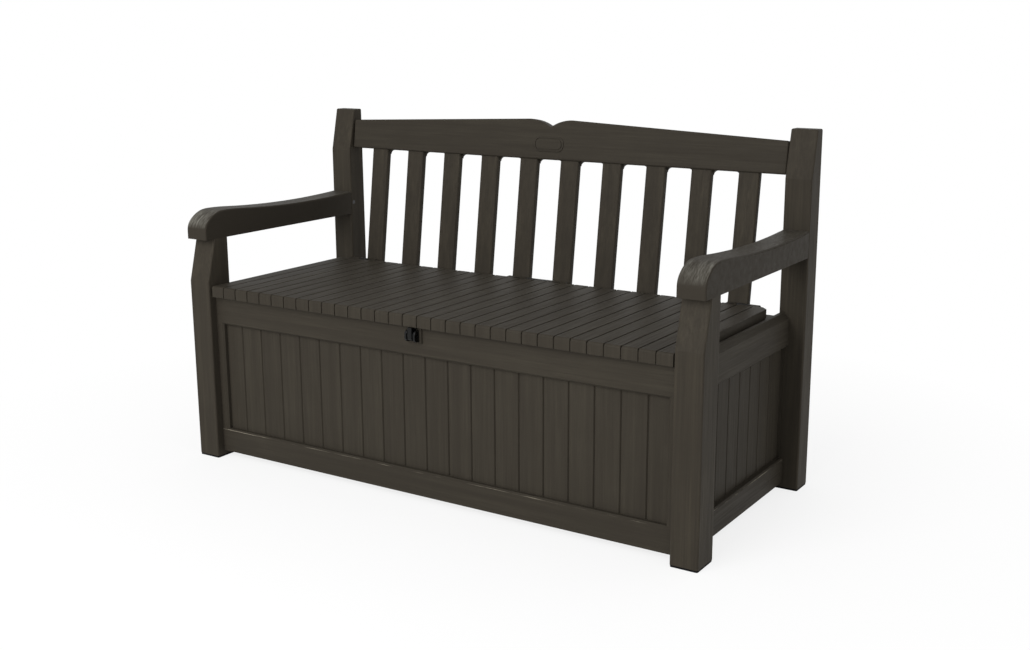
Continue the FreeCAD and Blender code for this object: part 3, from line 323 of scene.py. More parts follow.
@dataclass(frozen=True)
class PlainFinish:
    """Smooth finish with a faint mottle: moulded black plastic, rubber or plated steel.

    Attributes:
        name: Name of the material.
        tone: Main colour.
        second_tone: Colour of the mottle.
        mottle: Size of the mottle in millimetres.
        roughness: Lowest and highest roughness.
        metallic: 1 for bare metal, 0 for plastics.
        gloss: Strength of the sheen.
        depth: Depth of the mottle in millimetres.
    """

    name: str
    tone: str
    second_tone: str
    mottle: float
    roughness: tuple[float, float]
    metallic: float = 0.0
    gloss: float = 0.5
    depth: float = 0.2

    def build(self) -> bpy.types.Material:
        """Make the material.

        Returns:
            The finished material.
        """
        material = empty_material(self.name)
        tree = material.node_tree
        place = add_node(tree, "ShaderNodeTexCoord").outputs["Object"]
        mottle = add_node(tree, "ShaderNodeTexNoise", {
            "Vector": place, "Scale": 1 / (self.mottle * MM), "Detail": 3.0, "Roughness": 0.55})
        colour = add_node(tree, "ShaderNodeMix", {
            "Factor": mottle.outputs["Fac"], COLOUR_A: linear_colour(self.tone),
            COLOUR_B: linear_colour(self.second_tone)}, data_type="RGBA")
        rough = add_node(tree, "ShaderNodeMapRange", {
            "Value": mottle.outputs["Fac"], "To Min": self.roughness[0], "To Max": self.roughness[1]})
        bump = add_node(tree, "ShaderNodeBump", {
            "Strength": 0.15, "Distance": self.depth * MM, "Height": mottle.outputs["Fac"]})
        shader = add_node(tree, "ShaderNodeBsdfPrincipled", {
            "Base Color": colour.outputs[MIXED_COLOUR], "Roughness": rough.outputs["Result"],
            "Metallic": self.metallic, "Specular IOR Level": self.gloss, "Normal": bump.outputs["Normal"]})
        add_node(tree, "ShaderNodeOutputMaterial", {"Surface": shader.outputs["BSDF"]})
        return material


@dataclass(frozen=True)
class Dressing:
    """One finish and the frame's nodes that wear it.

    Attributes:
        finish: Finish to build.
        nodes: Starts of the names of the nodes.
    """

    finish: GrainedResin | PlainFinish
    nodes: tuple[str, ...]

    def apply(self) -> None:
        """Build the finish and put it on each of the nodes."""
        material = self.finish.build()
        for name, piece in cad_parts.items():
            if name.startswith(self.nodes):
                for slot in piece.material_slots:
                    slot.material = material


# Heights in millimetres between which the boards of the walls show.
BOARD_HEIGHTS = (76.0, 348.0)
DRESSINGS = (
    # Dark moulded polypropylene whose pale streaks run up the legs, the posts and the slats like wood fibres.
    Dressing(GrainedResin("polypropylene_uprights", Grain.ALONG_Z, pale_tone="#504a3e", streaks=0.45),
             ("left_front_leg", "right_front_leg", "left_rear_post", "right_rear_post", "backrest_slat")),
    # The same resin as boards: each one has streaks of its own, and the rails above and below run crosswise.
    Dressing(GrainedResin("polypropylene_front_boards", Grain.ALONG_Z, Boards(0, 62.7), Grain.ALONG_X,
                          BOARD_HEIGHTS), ("front_panel",)),
    Dressing(GrainedResin("polypropylene_rear_boards", Grain.ALONG_Z, Boards(0, 61.2), Grain.ALONG_X,
                          BOARD_HEIGHTS), ("rear_panel",)),
    Dressing(GrainedResin("polypropylene_side_boards", Grain.ALONG_Z, Boards(1, 57.375, 5.5), Grain.ALONG_Y,
                          BOARD_HEIGHTS), ("left_side_panel", "right_side_panel")),
    # Arms with a painted highlight: short, fine, pale bluish-grey streaks where the nose turns up to the
    # light, in place of the glints off the grain, and plain elsewhere.
    Dressing(GrainedResin("polypropylene_arms", Grain.SHORT_OVER_NOSE, pale_tone="#6c6a63", streaks=2.0,
                          fibre=2.2, figure=7.0, highlight_way=(0.0, -0.6, 0.8)),
             ("left_armrest", "right_armrest")),
    # Streaks along the rails of the back, as on a sawn board.
    Dressing(GrainedResin("polypropylene_rails", Grain.ALONG_X),
             ("backrest_top_rail", "backrest_lower_rail", "floor_panel")),
    # Black nylon with a soft sheen, which sets the fittings off from the dull resin.
    Dressing(PlainFinish("nylon_black", "#0c0c0c", "#161616", mottle=6.0, roughness=(0.3, 0.45)),
             ("left_hinge_bracket", "middle_hinge_bracket", "right_hinge_bracket", "armrest_screws")),
    # Zinc plated steel: bright grey with the faint spangle of the plating.
    Dressing(PlainFinish("steel_zinc_plated", "#9a9b9c", "#b4b5b5", mottle=3.0, roughness=(0.3, 0.45),
                         metallic=1.0),
             ("backrest_rail_screws", "hasp_screws", "hinge_screws", "lower_rail_screws",
              "left_hinge_pin", "middle_hinge_pin", "right_hinge_pin")),
)


class Pick(Enum):
    """Kind of mesh element that a selection takes."""

    CORNERS = "VERT"
    EDGES = "EDGE"
    FACES = "FACE"


def take(*pieces: bpy.types.Object) -> None:
    """Select these objects alone, with the first one active.

    Args:
        *pieces: Objects to select.
    """
    if bpy.context.mode != "OBJECT":
        bpy.ops.object.mode_set(mode="OBJECT")
    bpy.ops.object.select_all(action="DESELECT")
    for piece in pieces:
        piece.select_set(True)
    bpy.context.view_layer.objects.active = pieces[0]


def add_block(name: str, low: tuple, high: tuple) -> bpy.types.Object:
    """Add a box between two corners, with its place in its mesh.

    Args:
        name: Name of the box.
        low: Lowest corner in millimetres.
        high: Highest corner in millimetres.

    Returns:
        The box.
    """
    sides = [(b - a) * MM for a, b in zip(low, high)]
    middle = [(a + b) / 2 * MM for a, b in zip(low, high)]
    bpy.ops.mesh.primitive_cube_add(size=1.0, location=middle, scale=sides)
    bpy.ops.object.transform_apply(location=True, rotation=True, scale=True)
    bpy.context.object.name = name
    return bpy.context.object


def add_rod(name: str, radius: float, length: float, place: tuple, steps: int = 32) -> bpy.types.Object:
    """Add a round rod along X, with its place in its mesh.

    Args:
        name: Name of the rod.
        radius: Radius in millimetres.
        length: Length in millimetres.
        place: Middle of the rod in millimetres.
        steps: Sides of its outline.

    Returns:
        The rod.
    """
    bpy.ops.mesh.primitive_cylinder_add(
        vertices=steps, radius=radius * MM, depth=length * MM, location=[v * MM for v in place],
        rotation=(0.0, math.pi / 2, 0.0))
    bpy.ops.object.transform_apply(location=True, rotation=True, scale=True)
    bpy.context.object.name = name
    return bpy.context.object


def pick(piece: bpy.types.Object, kind: Pick, test: Callable[[Vector, Vector], bool]) -> None:
    """Go into edit mode with those elements selected that pass a test.

    Args:
        piece: Object to edit.
        kind: Kind of element.
        test: Takes the middle of an element with its normal or, for an edge, its run.
    """
    take(piece)
    bpy.ops.object.mode_set(mode="EDIT")
    bpy.ops.mesh.select_mode(type=kind.value)
    bpy.ops.mesh.select_all(action="DESELECT")
    bpy.ops.object.mode_set(mode="OBJECT")
    corners = piece.data.vertices
    if kind is Pick.CORNERS:
        for corner in corners:
            corner.select = test(corner.co, corner.normal)
    elif kind is Pick.EDGES:
        for edge in piece.data.edges:
            start, end = (corners[number].co for number in edge.vertices)
            edge.select = test((start + end) / 2, (end - start).normalized())
    else:
        for face in piece.data.polygons:
            face.select = test(face.center, face.normal)
    bpy.ops.object.mode_set(mode="EDIT")


def round_edges(piece: bpy.types.Object, radius: float, test: Callable[[Vector, Vector], bool],
                segments: int = 3, profile: float = 0.5) -> None:
    """Round those edges of a piece that pass a test.

    Args:
        piece: Object to edit.
        radius: Radius in millimetres.
        test: Takes the middle and the run of an edge.
        segments: Strips across the rounding.
        profile: Shape of the rounding: 0.5 bulges, and less than 0.25 is hollow.
    """
    pick(piece, Pick.EDGES, test)
    bpy.ops.mesh.bevel(offset=radius * MM, segments=segments, profile=profile, affect="EDGES")
    bpy.ops.object.mode_set(mode="OBJECT")


def join(name: str, pieces: list[bpy.types.Object]) -> bpy.types.Object:
    """Join objects into one piece.

    Args:
        name: Name of the piece.
        pieces: Objects to join.

    Returns:
        The joined piece.
    """
    take(*pieces)
    bpy.ops.object.join()
    pieces[0].name = name
    pieces[0].data.name = name
    return pieces[0]


def drill(piece: bpy.types.Object, radius: float, length: float, place: tuple) -> None:
    """Drill a round hole along X through a piece.

    Args:
        piece: Object to drill.
        radius: Radius in millimetres.
        length: Length in millimetres.
        place: Middle of the hole in millimetres.
    """
    bit = add_rod("drill_bit", radius, length, place)
    take(piece)
    hole = piece.modifiers.new("hole", "BOOLEAN")
    hole.operation = "DIFFERENCE"
    hole.object = bit
    bpy.ops.object.modifier_apply(modifier=hole.name)
    bpy.data.objects.remove(bit)


def hand_over(piece: bpy.types.Object, material: bpy.types.Material, body: str,
              nodes: tuple[str, ...] = ()) -> None:
    """Smooth and dress a finished piece, and give it to its body of the frame.

    Args:
        piece: Finished piece.
        material: Finish that it wears.
        body: Body that it moves with.
        nodes: Nodes of the frame that it stands for.
    """
    take(piece)
    bpy.ops.object.transform_apply(location=True, rotation=True, scale=True)
    bpy.ops.object.shade_smooth_by_angle(angle=SMOOTH_ANGLE)
    flats = piece.modifiers.new("flats", "WEIGHTED_NORMAL")
    flats.keep_sharp = True
    bpy.ops.object.modifier_apply(modifier=flats.name)
    piece.data.materials.clear()
    piece.data.materials.append(material)
    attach(piece, body)
    if nodes:
        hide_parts(*nodes)
    LOG.info("%s: %d faces", piece.name, len(piece.data.polygons))


@dataclass
class BadgePlate:
    """Bare plate on the top rail, with a rim and a raised middle. Sizes in millimetres.

    Attributes:
        corner: Radius of its corners.
        steps: Sides of the round that its outline is drawn out of.
        rim: Width of the rim.
        groove: Width of the groove inside the rim.
        sink: Depth of the groove.
        slope: Width of the groove's sloped walls.
        thickness: Thickness of the plate.
    """

    corner: float = 17.0
    steps: int = 48
    rim: float = 2.5
    groove: float = 2.6
    sink: float = 1.5
    slope: float = 0.5
    thickness: float = 2.0

    def build(self, material: bpy.types.Material) -> None:
        """Model the plate and hand it over.

        Args:
            material: Finish of the plate.
        """
        low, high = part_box("badge_plate")
        length = (high.x - low.x) / MM
        across = (high.z - low.z) / MM / math.cos(math.radians(BACK_LEAN))
        bpy.ops.mesh.primitive_cylinder_add(
            vertices=self.steps, radius=self.corner * MM, depth=self.thickness * MM,
            rotation=(math.pi / 2, 0.0, 0.0))
        bpy.ops.object.transform_apply(location=True, rotation=True, scale=True)
        plate = bpy.context.object
        plate.name = "bare_badge"
        for axis, reach in ((0, length / 2 - self.corner), (2, across / 2 - self.corner)):
            for side in (-1, 1):
                step = [0.0, 0.0, 0.0]
                step[axis] = side * reach * MM
                pick(plate, Pick.CORNERS, lambda middle, _: side * middle[axis] > NEAR)
                bpy.ops.transform.translate(value=step)
                bpy.ops.object.mode_set(mode="OBJECT")
        front = -self.thickness / 2 * MM
        round_edges(plate, self.slope, lambda middle, run: (
            abs(middle.y - front) < NEAR and abs(run.y) < ACROSS), segments=2)
        pick(plate, Pick.FACES, lambda _, normal: normal.y < -ALONG)
        bpy.ops.mesh.inset(thickness=self.rim * MM)
        bpy.ops.mesh.inset(thickness=self.slope * MM, depth=-self.sink * MM)
        bpy.ops.mesh.inset(thickness=self.groove * MM)
        bpy.ops.mesh.inset(thickness=self.slope * MM, depth=self.sink * MM)
        bpy.ops.object.mode_set(mode="OBJECT")
        plate.rotation_euler.x = -math.radians(BACK_LEAN)
        plate.location = (low + high) / 2
        hand_over(plate, material, "bench_frame", ("badge_plate",))


@dataclass
class SlatCorners:
    """Hollow roundings where the slats run into the top rail. Sizes in millimetres.

    Attributes:
        slats: Number of slats.
        radius: Radius of a rounding.
        hollow: Profile of the rounding, which makes it hollow.
        root: Depth to which each one stands in the slat and in the rail.
        pivot: Place behind and above the origin about which the back leans.
        rail_bottom: Height of the rail's lower edge along the lean.
        depth: Front and back of the roundings, behind the pivot.
    """

    slats: int = 10
    radius: float = 11.0
    hollow: float = 0.08
    root: float = 2.0
    pivot: tuple[float, float] = (221.8, 446.0)
    rail_bottom: float = 299.7
    depth: tuple[float, float] = (11.0, 17.4)

    def build(self, material: bpy.types.Material) -> None:
        """Model the roundings between the slats and hand them over.

        Args:
            material: Finish of the slats.
        """
        corners = []
        for number in range(1, self.slats):
            _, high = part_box(f"backrest_slat_{number:02d}")
            low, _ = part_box(f"backrest_slat_{number + 1:02d}")
            corners.append(self._corner(high.x / MM, 1))
            corners.append(self._corner(low.x / MM, -1))
        piece = join("slat_corners", corners)
        piece.rotation_euler.x = -math.radians(BACK_LEAN)
        piece.location = (0.0, self.pivot[0] * MM, self.pivot[1] * MM)
        hand_over(piece, material, "bench_frame")

    def _corner(self, flank: float, side: int) -> bpy.types.Object:
        """Model one rounding.

        Args:
            flank: Place of the slat's side face.
            side: Direction out of the slat, 1 or -1.

        Returns:
            The rounding, still upright.
        """
        across = sorted((flank - side * self.root, flank + side * self.radius))
        low = (across[0], self.depth[0], self.rail_bottom - self.radius)
        high = (across[1], self.depth[1], self.rail_bottom + self.root)
        block = add_block("slat_corner", low, high)
        outer = (flank + side * self.radius) * MM
        bottom = low[2] * MM
        round_edges(block, self.radius, lambda middle, run: (
            abs(run.y) > ALONG and abs(middle.x - outer) < NEAR and abs(middle.z - bottom) < NEAR),
            segments=5, profile=self.hollow)
        return block


@dataclass
class FootPads:
    """Pads under the legs and posts, with a spigot up into the leg. Sizes in millimetres.

    Attributes:
        height: Height of the pad below the leg.
        corner: Radius of its upright edges.
        edge: Radius round the sole.
        spigot: Distance from the pad's outline in to the spigot.
        tread: Width of the ring on which the pad stands.
        hollow: Depth of the hollow inside that ring.
    """

    height: float = 5.0
    corner: float = 4.0
    edge: float = 1.0
    spigot: float = 7.0
    tread: float = 9.0
    hollow: float = 2.5

    def build(self, material: bpy.types.Material) -> None:
        """Model the four pads and hand them over.

        Args:
            material: Finish of the pads.
        """
        for side in ("left", "right"):
            for end in ("front", "rear"):
                self._pad(f"{side}_{end}_foot", material)

    def _pad(self, node: str, material: bpy.types.Material) -> None:
        """Model one pad.

        Args:
            node: Node of the frame that it stands for.
            material: Finish of the pad.
        """
        low, high = (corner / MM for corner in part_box(node))
        pad = add_block(f"{node}_pad", low, (high.x, high.y, low.z + self.height))
        round_edges(pad, self.corner, lambda _, run: abs(run.z) > ALONG)
        sole = low.z * MM
        round_edges(pad, self.edge, lambda middle, run: (
            abs(middle.z - sole) < NEAR and abs(run.z) < ACROSS), segments=2)
        pick(pad, Pick.FACES, lambda _, normal: normal.z > ALONG)
        bpy.ops.mesh.inset(thickness=self.spigot * MM)
        bpy.ops.mesh.extrude_region_move(
            TRANSFORM_OT_translate={"value": (0.0, 0.0, (high.z - low.z - self.height) * MM)})
        pick(pad, Pick.FACES, lambda _, normal: normal.z < -ALONG)
        bpy.ops.mesh.inset(thickness=self.tread * MM)
        bpy.ops.mesh.extrude_region_move(TRANSFORM_OT_translate={"value": (0.0, 0.0, self.hollow * MM)})
        bpy.ops.object.mode_set(mode="OBJECT")
        hand_over(pad, material, "bench_frame", (node,))


@dataclass
class LockFittings:
    """Two-eared eye on the front wall and the hasp that hangs between its ears. Sizes in millimetres.

    Attributes:
        hole: Place of the padlock's hole from front to back, and its height.
        hole_radius: Radius of that hole.
        ear: Width of an ear.
        plate: Thickness of the eye's plate.
        boss_face: Front of the boss that the eye stands on.
        nose: Radius of the ears' front.
        tongue: Width of the hasp's tongue.
        tongue_end: Radius of its lower end.
        flange: Thickness of the flange that holds the hasp.
        flange_bottom: Height of the flange's lower edge.
        lip_bottom: Height of the lid's lip, under which the tongue comes forward.
        edge: Radius of the small edges.
    """

    hole: tuple[float, float] = (-298.0, 398.0)
    hole_radius: float = 4.0
    ear: float = 5.5
    plate: float = 2.5
    boss_face: float = -289.0
    nose: float = 9.5
    tongue: float = 11.0
    tongue_end: float = 5.5
    flange: float = 3.5
    flange_bottom: float = 414.0
    lip_bottom: float = 418.0
    edge: float = 0.8

    def build(self, material: bpy.types.Material) -> None:
        """Model the eye and the hasp and hand them over.

        Args:
            material: Finish of both.
        """
        hand_over(self._eye(), material, "bench_frame", ("lock_eye",))
        hand_over(self._hasp(), material, "lid", ("lid_hasp",))

    def _eye(self) -> bpy.types.Object:
        """Model the plate and the two ears of the eye.

        Returns:
            The eye.
        """
        low, high = (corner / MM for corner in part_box("lock_eye"))
        face = self.boss_face - self.plate
        plate = add_block("eye_plate", (low.x, face, low.z), (high.x, self.boss_face, high.z))
        round_edges(plate, self.edge, lambda middle, _: middle.y < face * MM + NEAR)
        pieces = [plate]
        for inner, outer in ((low.x + self.ear, low.x), (high.x - self.ear, high.x)):
            sides = sorted((inner, outer))
            ear = add_block("eye_ear", (sides[0], low.y, low.z), (sides[1], face, high.z))
            round_edges(ear, self.nose, lambda middle, run: (
                abs(run.x) > ALONG and middle.y < low.y * MM + NEAR), segments=6)
            drill(ear, self.hole_radius, 2 * self.ear, ((inner + outer) / 2, *self.hole))
            round_edges(ear, self.edge, lambda middle, run: (
                abs(run.x) < ACROSS and middle.y < face * MM - NEAR and not self._rims_hole(middle)),
                segments=2)
            pieces.append(ear)
        return join("padlock_eye", pieces)

    def _rims_hole(self, middle: Vector) -> bool:
        """Tell whether an edge lies on the rim of the padlock's hole.

        Args:
            middle: Middle of the edge.

        Returns:
            True on the rim.
        """
        away = math.hypot(middle.y - self.hole[0] * MM, middle.z - self.hole[1] * MM)
        return away < self.hole_radius * MM + NEAR

    def _hasp(self) -> bpy.types.Object:
        """Model the flange and the tongue of the hasp.

        Returns:
            The hasp.
        """
        low, high = (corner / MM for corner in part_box("lid_hasp"))
        middle_x = (low.x + high.x) / 2
        half = self.tongue / 2
        flange = add_block("hasp_flange", (low.x, high.y - self.flange, self.flange_bottom), high)
        round_edges(flange, self.nose / 2, lambda _, run: abs(run.y) > ALONG)
        tongue = add_block("hasp_tongue", (middle_x - half, low.y, low.z),
                           (middle_x + half, high.y, self.lip_bottom))
        round_edges(tongue, self.tongue_end, lambda middle, run: (
            abs(run.x) > ALONG and middle.z < low.z * MM + NEAR), segments=6)
        drill(tongue, self.hole_radius, 2 * self.tongue, (middle_x, *self.hole))
        return join("padlock_hasp", [flange, tongue])


@dataclass
class SeatLid:
    """Seat of rounded planks on a ribbed tray, with its hinge knuckles. Sizes in millimetres.

    Attributes:
        planks: Number of planks.
        gap: Width of the gaps between them.
        groove: Depth of the gaps.
        skin: Thickness of a plank over the tray.
        nose: Radius of the planks' front.
        edge: Radius of their long edges.
        lip_edge: Radius of the lip's lower edge.
        rear: Place of the planks' rear ends.
        corner: Length cut off the rear corners.
        wall: Thickness of the tray's walls and ribs.
        deck: Thickness of planks and tray together.
        cells: Number of hollows across the tray.
        step: Place where the tray steps up over the hinge feet.
        step_height: Height of that step.
        hinges: Middle, half width and half width of the fixed knuckle of each hinge.
        hinge_line: Place and height of the hinge axis.
        knuckle: Radius of the knuckles.
        bore: Radius of the bore for the pin.
        play: Play between knuckles.
        tab: Height of the tab that joins a knuckle to the tray.
    """

    planks: int = 32
    gap: float = 2.4
    groove: float = 2.5
    skin: float = 5.0
    nose: float = 9.0
    edge: float = 1.3
    lip_edge: float = 2.0
    rear: float = 193.5
    corner: float = 16.0
    wall: float = 4.0
    deck: float = 6.0
    cells: int = 8
    step: float = 172.0
    step_height: float = 7.0
    hinges: tuple[tuple[float, float, float], ...] = (
        (-562.5, 40.0, 14.5), (0.0, 86.0, 29.5), (562.5, 40.0, 14.5))
    hinge_line: tuple[float, float] = (207.0, 435.0)
    knuckle: float = 11.0
    bore: float = 4.2
    play: float = 0.5
    tab: float = 18.0

    def plank_pitch(self) -> float:
        """Give the distance from plank to plank.

        Returns:
            The distance in millimetres.
        """
        low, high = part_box("seat_lid")
        return ((high.x - low.x) / MM + self.gap) / self.planks

    def build(self, material: bpy.types.Material) -> None:
        """Model the lid and hand it over.

        Args:
            material: Finish of the lid.
        """
        low, high = (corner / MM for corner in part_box("seat_lid"))
        planks = self._planks(low, high)
        tray = self._tray(low, high)
        for piece in (planks, tray):
            for side in (-1, 1):
                self._trim_corner(piece, side, high.x)
        hand_over(planks, material, "lid", ("seat_lid",))
        hand_over(join("seat_tray", [tray, *self._knuckles(high.z)]), material, "lid", ("seat_lid",))

    def _planks(self, low: Vector, high: Vector) -> bpy.types.Object:
        """Model one plank with its lip and rounded edges, and repeat it across the seat.

        Args:
            low: Lowest corner of the lid.
            high: Highest corner of the lid.

        Returns:
            All the planks.
        """
        pitch = self.plank_pitch()
        width = pitch - self.gap
        lip_back = low.y + self.skin
        plank = add_block("seat_planks", (low.x, low.y, high.z - self.skin),
                          (low.x + width, self.rear, high.z))
        pick(plank, Pick.FACES, lambda *_: True)
        bpy.ops.mesh.bisect(plane_co=(0.0, lip_back * MM, 0.0), plane_no=(0.0, 1.0, 0.0))
        pick(plank, Pick.FACES, lambda middle, normal: normal.z < -ALONG and middle.y < lip_back * MM)
        drop = low.z - (high.z - self.skin)
        bpy.ops.mesh.extrude_region_move(TRANSFORM_OT_translate={"value": (0.0, 0.0, drop * MM)})
        bpy.ops.object.mode_set(mode="OBJECT")
        front = low.y * MM
        top = high.z * MM
        round_edges(plank, self.nose, lambda middle, run: (
            abs(run.x) > ALONG and middle.y < front + NEAR and middle.z > top - NEAR), segments=6)
        round_edges(plank, self.lip_edge, lambda middle, run: (
            abs(run.x) > ALONG and middle.y < front + NEAR and middle.z < low.z * MM + NEAR), segments=2)
        round_edges(plank, self.edge, lambda middle, run: (
            abs(run.x) < ACROSS and self._shows(middle, front, top)), segments=2)
        repeat = plank.modifiers.new("repeat", "ARRAY")
        repeat.count = self.planks
        repeat.use_relative_offset = False
        repeat.use_constant_offset = True
        repeat.constant_offset_displace = (pitch * MM, 0.0, 0.0)
        take(plank)
        bpy.ops.object.modifier_apply(modifier=repeat.name)
        return plank

    def _shows(self, middle: Vector, front: float, top: float) -> bool:
        """Tell whether an edge of a plank lies on its outer face: the top, the nose or the lip.

        Args:
            middle: Middle of the edge.
            front: Place of the plank's front in metres.
            top: Height of the plank's top in metres.

        Returns:
            True on the outer face.
        """
        on_top = middle.z > top - NEAR
        on_lip = middle.y < front + NEAR
        on_nose = middle.y < front + self.nose * MM and middle.z > top - self.nose * MM
        inside = middle.y > front + self.skin * MM - NEAR and middle.z < top - self.skin * MM + NEAR
        return on_top or on_lip or (on_nose and not inside)

    def _tray(self, low: Vector, high: Vector) -> bpy.types.Object:
        """Model the hollow tray under the planks, with its ribs.

        Args:
            low: Lowest corner of the lid.
            high: Highest corner of the lid.

        Returns:
            The tray.
        """
        front = low.y + self.groove
        top = high.z - self.groove
        ceiling = high.z - self.deck
        tray = add_block("seat_tray", (low.x, front, low.z), (high.x, self.step, top))
        round_edges(tray, self.nose - self.groove, lambda middle, run: (
            abs(run.x) > ALONG and middle.y < front * MM + NEAR and middle.z > top * MM - NEAR), segments=5)
        pick(tray, Pick.FACES, lambda _, normal: normal.z < -ALONG)
        bpy.ops.mesh.inset(thickness=self.wall * MM)
        bpy.ops.mesh.extrude_region_move(TRANSFORM_OT_translate={"value": (0.0, 0.0, (ceiling - low.z) * MM)})
        bpy.ops.object.mode_set(mode="OBJECT")
        rear_step = add_block("rear_step", (low.x, self.step, low.z + self.step_height),
                              (high.x, self.rear, top))
        pieces = [tray, rear_step]
        pitch = (high.x - low.x - self.wall) / self.cells
        for number in range(1, self.cells):
            left = low.x + number * pitch
            rib = add_block("tray_rib", (left, front + self.wall, low.z),
                            (left + self.wall, self.step - self.wall, ceiling))
            round_edges(rib, self.edge, lambda middle, run: (
                abs(run.y) > ALONG and middle.z < low.z * MM + NEAR), segments=2)
            pieces.append(rib)
        return join("seat_tray", pieces)

    def _trim_corner(self, piece: bpy.types.Object, side: int, half: float) -> None:
        """Cut a rear corner off at 45 degrees.

        Args:
            piece: Planks or tray.
            side: 1 for the right corner, -1 for the left one.
            half: Half the width of the lid.
        """
        pick(piece, Pick.FACES, lambda *_: True)
        bpy.ops.mesh.bisect(
            plane_co=(side * half * MM, (self.rear - self.corner) * MM, 0.0), plane_no=(side, 1.0, 0.0),
            use_fill=True, clear_outer=True)
        bpy.ops.object.mode_set(mode="OBJECT")

    def _knuckles(self, top: float) -> list[bpy.types.Object]:
        """Model the bored knuckles of the lid and the tabs that join them to it.

        Args:
            top: Height of the lid's top.

        Returns:
            The knuckles and their tabs.
        """
        pieces = []
        for middle, half, fixed in self.hinges:
            for side in (-1, 1):
                ends = sorted((middle + side * (fixed + self.play), middle + side * half))
                centre = (ends[0] + ends[1]) / 2
                rod = add_rod("lid_knuckle", self.knuckle, ends[1] - ends[0], (centre, *self.hinge_line))
                pick(rod, Pick.FACES, lambda _, normal: abs(normal.x) > ALONG)
                bpy.ops.mesh.inset(thickness=(self.knuckle - self.bore) * MM)
                bpy.ops.mesh.delete(type="FACE")
                bpy.ops.mesh.select_mode(type="EDGE")
                bpy.ops.mesh.select_non_manifold()
                bpy.ops.mesh.bridge_edge_loops()
                bpy.ops.object.mode_set(mode="OBJECT")
                tab = add_block("knuckle_tab", (ends[0], self.rear - self.wall, top - self.tab),
                                (ends[1], self.hinge_line[0] - self.bore - self.play, top))
                round_edges(tab, self.edge, lambda _, run: abs(run.y) > ALONG, segments=2)
                pieces += [rod, tab]
        return pieces


@dataclass(frozen=True)
class SoftLight:
    """A square studio light that faces the bench.

    Attributes:
        name: Name of the light.
        place: Where it hangs, in metres.
        size: Side of the square in metres.
        power: Power in watts.
        target: Point it faces, in metres.
    """

    name: str
    place: tuple[float, float, float]
    size: float
    power: float
    target: tuple[float, float, float] = (0.0, 0.0, 0.4)

    def hang(self) -> None:
        """Add the light to the scene."""
        data = bpy.data.lights.new(self.name, "AREA")
        data.size = self.size
        data.energy = self.power
        light = bpy.data.objects.new(self.name, data)
        light.location = self.place
        light.rotation_euler = (Vector(self.target) - Vector(self.place)).to_track_quat("-Z", "Y").to_euler()
        bpy.context.scene.collection.objects.link(light)


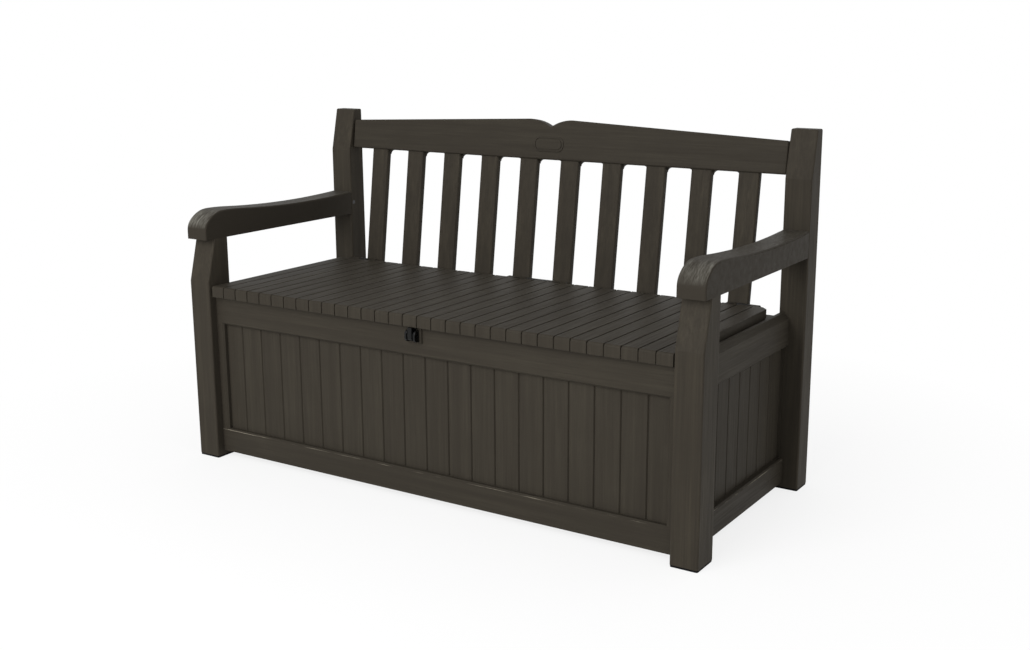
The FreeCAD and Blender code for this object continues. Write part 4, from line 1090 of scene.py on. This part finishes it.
@dataclass(frozen=True)
class Studio:
    """Pale floor, white backdrop, soft lights and the camera.

    Attributes:
        lights: Lights that hang round the bench.
        sky_strength: Strength of the even light from all round.
        floor_size: Side of the floor in metres.
        shadow_reach: Distances in metres from the middle of the floor over which the shadow fades out.
        shadow_veil: Share of plain white over the shadow at its darkest.
        camera_place: Where the camera stands, in metres.
        camera_right: Direction to the right in the picture.
        camera_up: Upward direction in the picture.
        sensor: Width of the camera's sensor in millimetres.
        lens: Focal length in millimetres.
        shift: Sideways shift of the lens that frames the bench.
    """

    lights: tuple[SoftLight, ...]
    sky_strength: float = 0.6
    floor_size: float = 60.0
    shadow_reach: tuple[float, float] = (0.7, 1.6)
    shadow_veil: float = 0.8
    camera_place: tuple[float, float, float] = (1.6996, -2.5161, 1.0752)
    camera_right: tuple[float, float, float] = (0.8476, 0.5306, -0.0001)
    camera_up: tuple[float, float, float] = (-0.1206, 0.1929, 0.9738)
    sensor: float = 36.0
    lens: float = 44.95
    shift: float = -0.02

    def build(self) -> None:
        """Add the floor, the backdrop, the lights and the camera."""
        self._floor()
        self._sky()
        for light in self.lights:
            light.hang()
        self._camera()
        bpy.context.scene.view_settings.view_transform = "Standard"

    @staticmethod
    def _seen(tree: bpy.types.NodeTree) -> bpy.types.NodeSocket:
        """Tell the rays that show the backdrop, straight or in a reflection, from those that light the bench.

        Args:
            tree: Node tree of the floor or of the sky.

        Returns:
            Socket that gives 1 for the rays that show the backdrop and 0 for the others.
        """
        rays = add_node(tree, "ShaderNodeLightPath").outputs
        mirrored = add_node(tree, "ShaderNodeMath", {
            0: rays["Is Glossy Ray"], 1: rays["Is Transmission Ray"]}, operation="MAXIMUM")
        seen = add_node(tree, "ShaderNodeMath", {
            0: rays["Is Camera Ray"], 1: mirrored.outputs["Value"]}, operation="MAXIMUM")
        return seen.outputs["Value"]

    def _floor(self) -> None:
        """Lay the floor: nearly white to the camera, with the shadow of the bench left on it."""
        bpy.ops.mesh.primitive_plane_add(size=self.floor_size)
        floor = bpy.context.object
        floor.name = "studio_floor"
        material = empty_material("floor_pale")
        tree = material.node_tree
        matt = add_node(tree, "ShaderNodeBsdfDiffuse", {"Color": linear_colour("#f4f4f4")})
        white = add_node(tree, "ShaderNodeEmission", {"Color": linear_colour("#ffffff"), "Strength": 1.0})
        place = add_node(tree, "ShaderNodeTexCoord").outputs["Object"]
        away = add_node(tree, "ShaderNodeVectorMath", {0: place}, operation="LENGTH")
        fade = add_node(tree, "ShaderNodeMapRange", {
            "Value": away.outputs["Value"], "From Min": self.shadow_reach[0],
            "From Max": self.shadow_reach[1], "To Min": self.shadow_veil, "To Max": 1.0})
        share = add_node(tree, "ShaderNodeMath", {
            0: self._seen(tree), 1: fade.outputs["Result"]}, operation="MULTIPLY")
        mixed = add_node(tree, "ShaderNodeMixShader", {
            "Fac": share.outputs["Value"], 1: matt.outputs["BSDF"], 2: white.outputs["Emission"]})
        add_node(tree, "ShaderNodeOutputMaterial", {"Surface": mixed.outputs["Shader"]})
        floor.data.materials.append(material)

    def _sky(self) -> None:
        """Set the even light from all round, which the camera sees as plain white."""
        world = bpy.data.worlds.new("studio_sky")
        bpy.context.scene.world = world
        world.use_nodes = True
        tree = world.node_tree
        tree.nodes.clear()
        strength = add_node(tree, "ShaderNodeMapRange", {
            "Value": self._seen(tree), "To Min": self.sky_strength, "To Max": 1.0})
        sky = add_node(tree, "ShaderNodeBackground", {
            "Color": linear_colour("#ffffff"), "Strength": strength.outputs["Result"]})
        add_node(tree, "ShaderNodeOutputWorld", {"Surface": sky.outputs["Background"]})

    def _camera(self) -> None:
        """Set the camera up where the picture of the bench is taken from."""
        data = bpy.data.cameras.new("studio_camera")
        data.sensor_width = self.sensor
        data.lens = self.lens
        data.shift_x = self.shift
        camera = bpy.data.objects.new("studio_camera", data)
        right = Vector(self.camera_right).normalized()
        up = Vector(self.camera_up).normalized()
        turn = Matrix((right, up, right.cross(up))).transposed().to_4x4()
        camera.matrix_world = Matrix.Translation(self.camera_place) @ turn
        bpy.context.scene.collection.objects.link(camera)
        bpy.context.scene.camera = camera


STUDIO = Studio(lights=(
    SoftLight("key_light", (-0.4, -3.9, 2.3), size=3.0, power=162.0),
    SoftLight("fill_light", (3.6, -0.6, 1.4), size=2.0, power=14.0),
    SoftLight("back_light", (0.3, 3.4, 3.2), size=2.4, power=20.0),
))


def main() -> None:
    """Dress the bench, piece by piece, and set the studio up."""
    logging.basicConfig(level=logging.INFO)
    bpy.ops.object.select_all(action="DESELECT")
    for dressing in DRESSINGS:
        dressing.apply()
    lid = SeatLid()
    # Planks of the same resin, with streaks that run to the front, over the nose and down the lip.
    lid.build(GrainedResin("polypropylene_planks", Grain.OVER_NOSE, Boards(0, lid.plank_pitch())).build())
    SlatCorners().build(bpy.data.materials["polypropylene_uprights"])
    BadgePlate().build(bpy.data.materials["polypropylene_rails"])
    # Polished black nylon, whose small bright reflections pick the lock out of the wall.
    nylon = PlainFinish("nylon_polished_black", "#050505", "#0a0a0a", mottle=6.0, roughness=(0.12, 0.25),
                        gloss=0.2)
    LockFittings().build(nylon.build())
    # Dead matt rubber, which reads as a dark line under each leg.
    rubber = PlainFinish("rubber_black", "#070707", "#0e0e0e", mottle=5.0, roughness=(0.7, 0.9), gloss=0.1)
    FootPads().build(rubber.build())
    STUDIO.build()
    LOG.info("bench dressed: %d nodes", len(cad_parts))


if __name__ == "__main__":
    main()
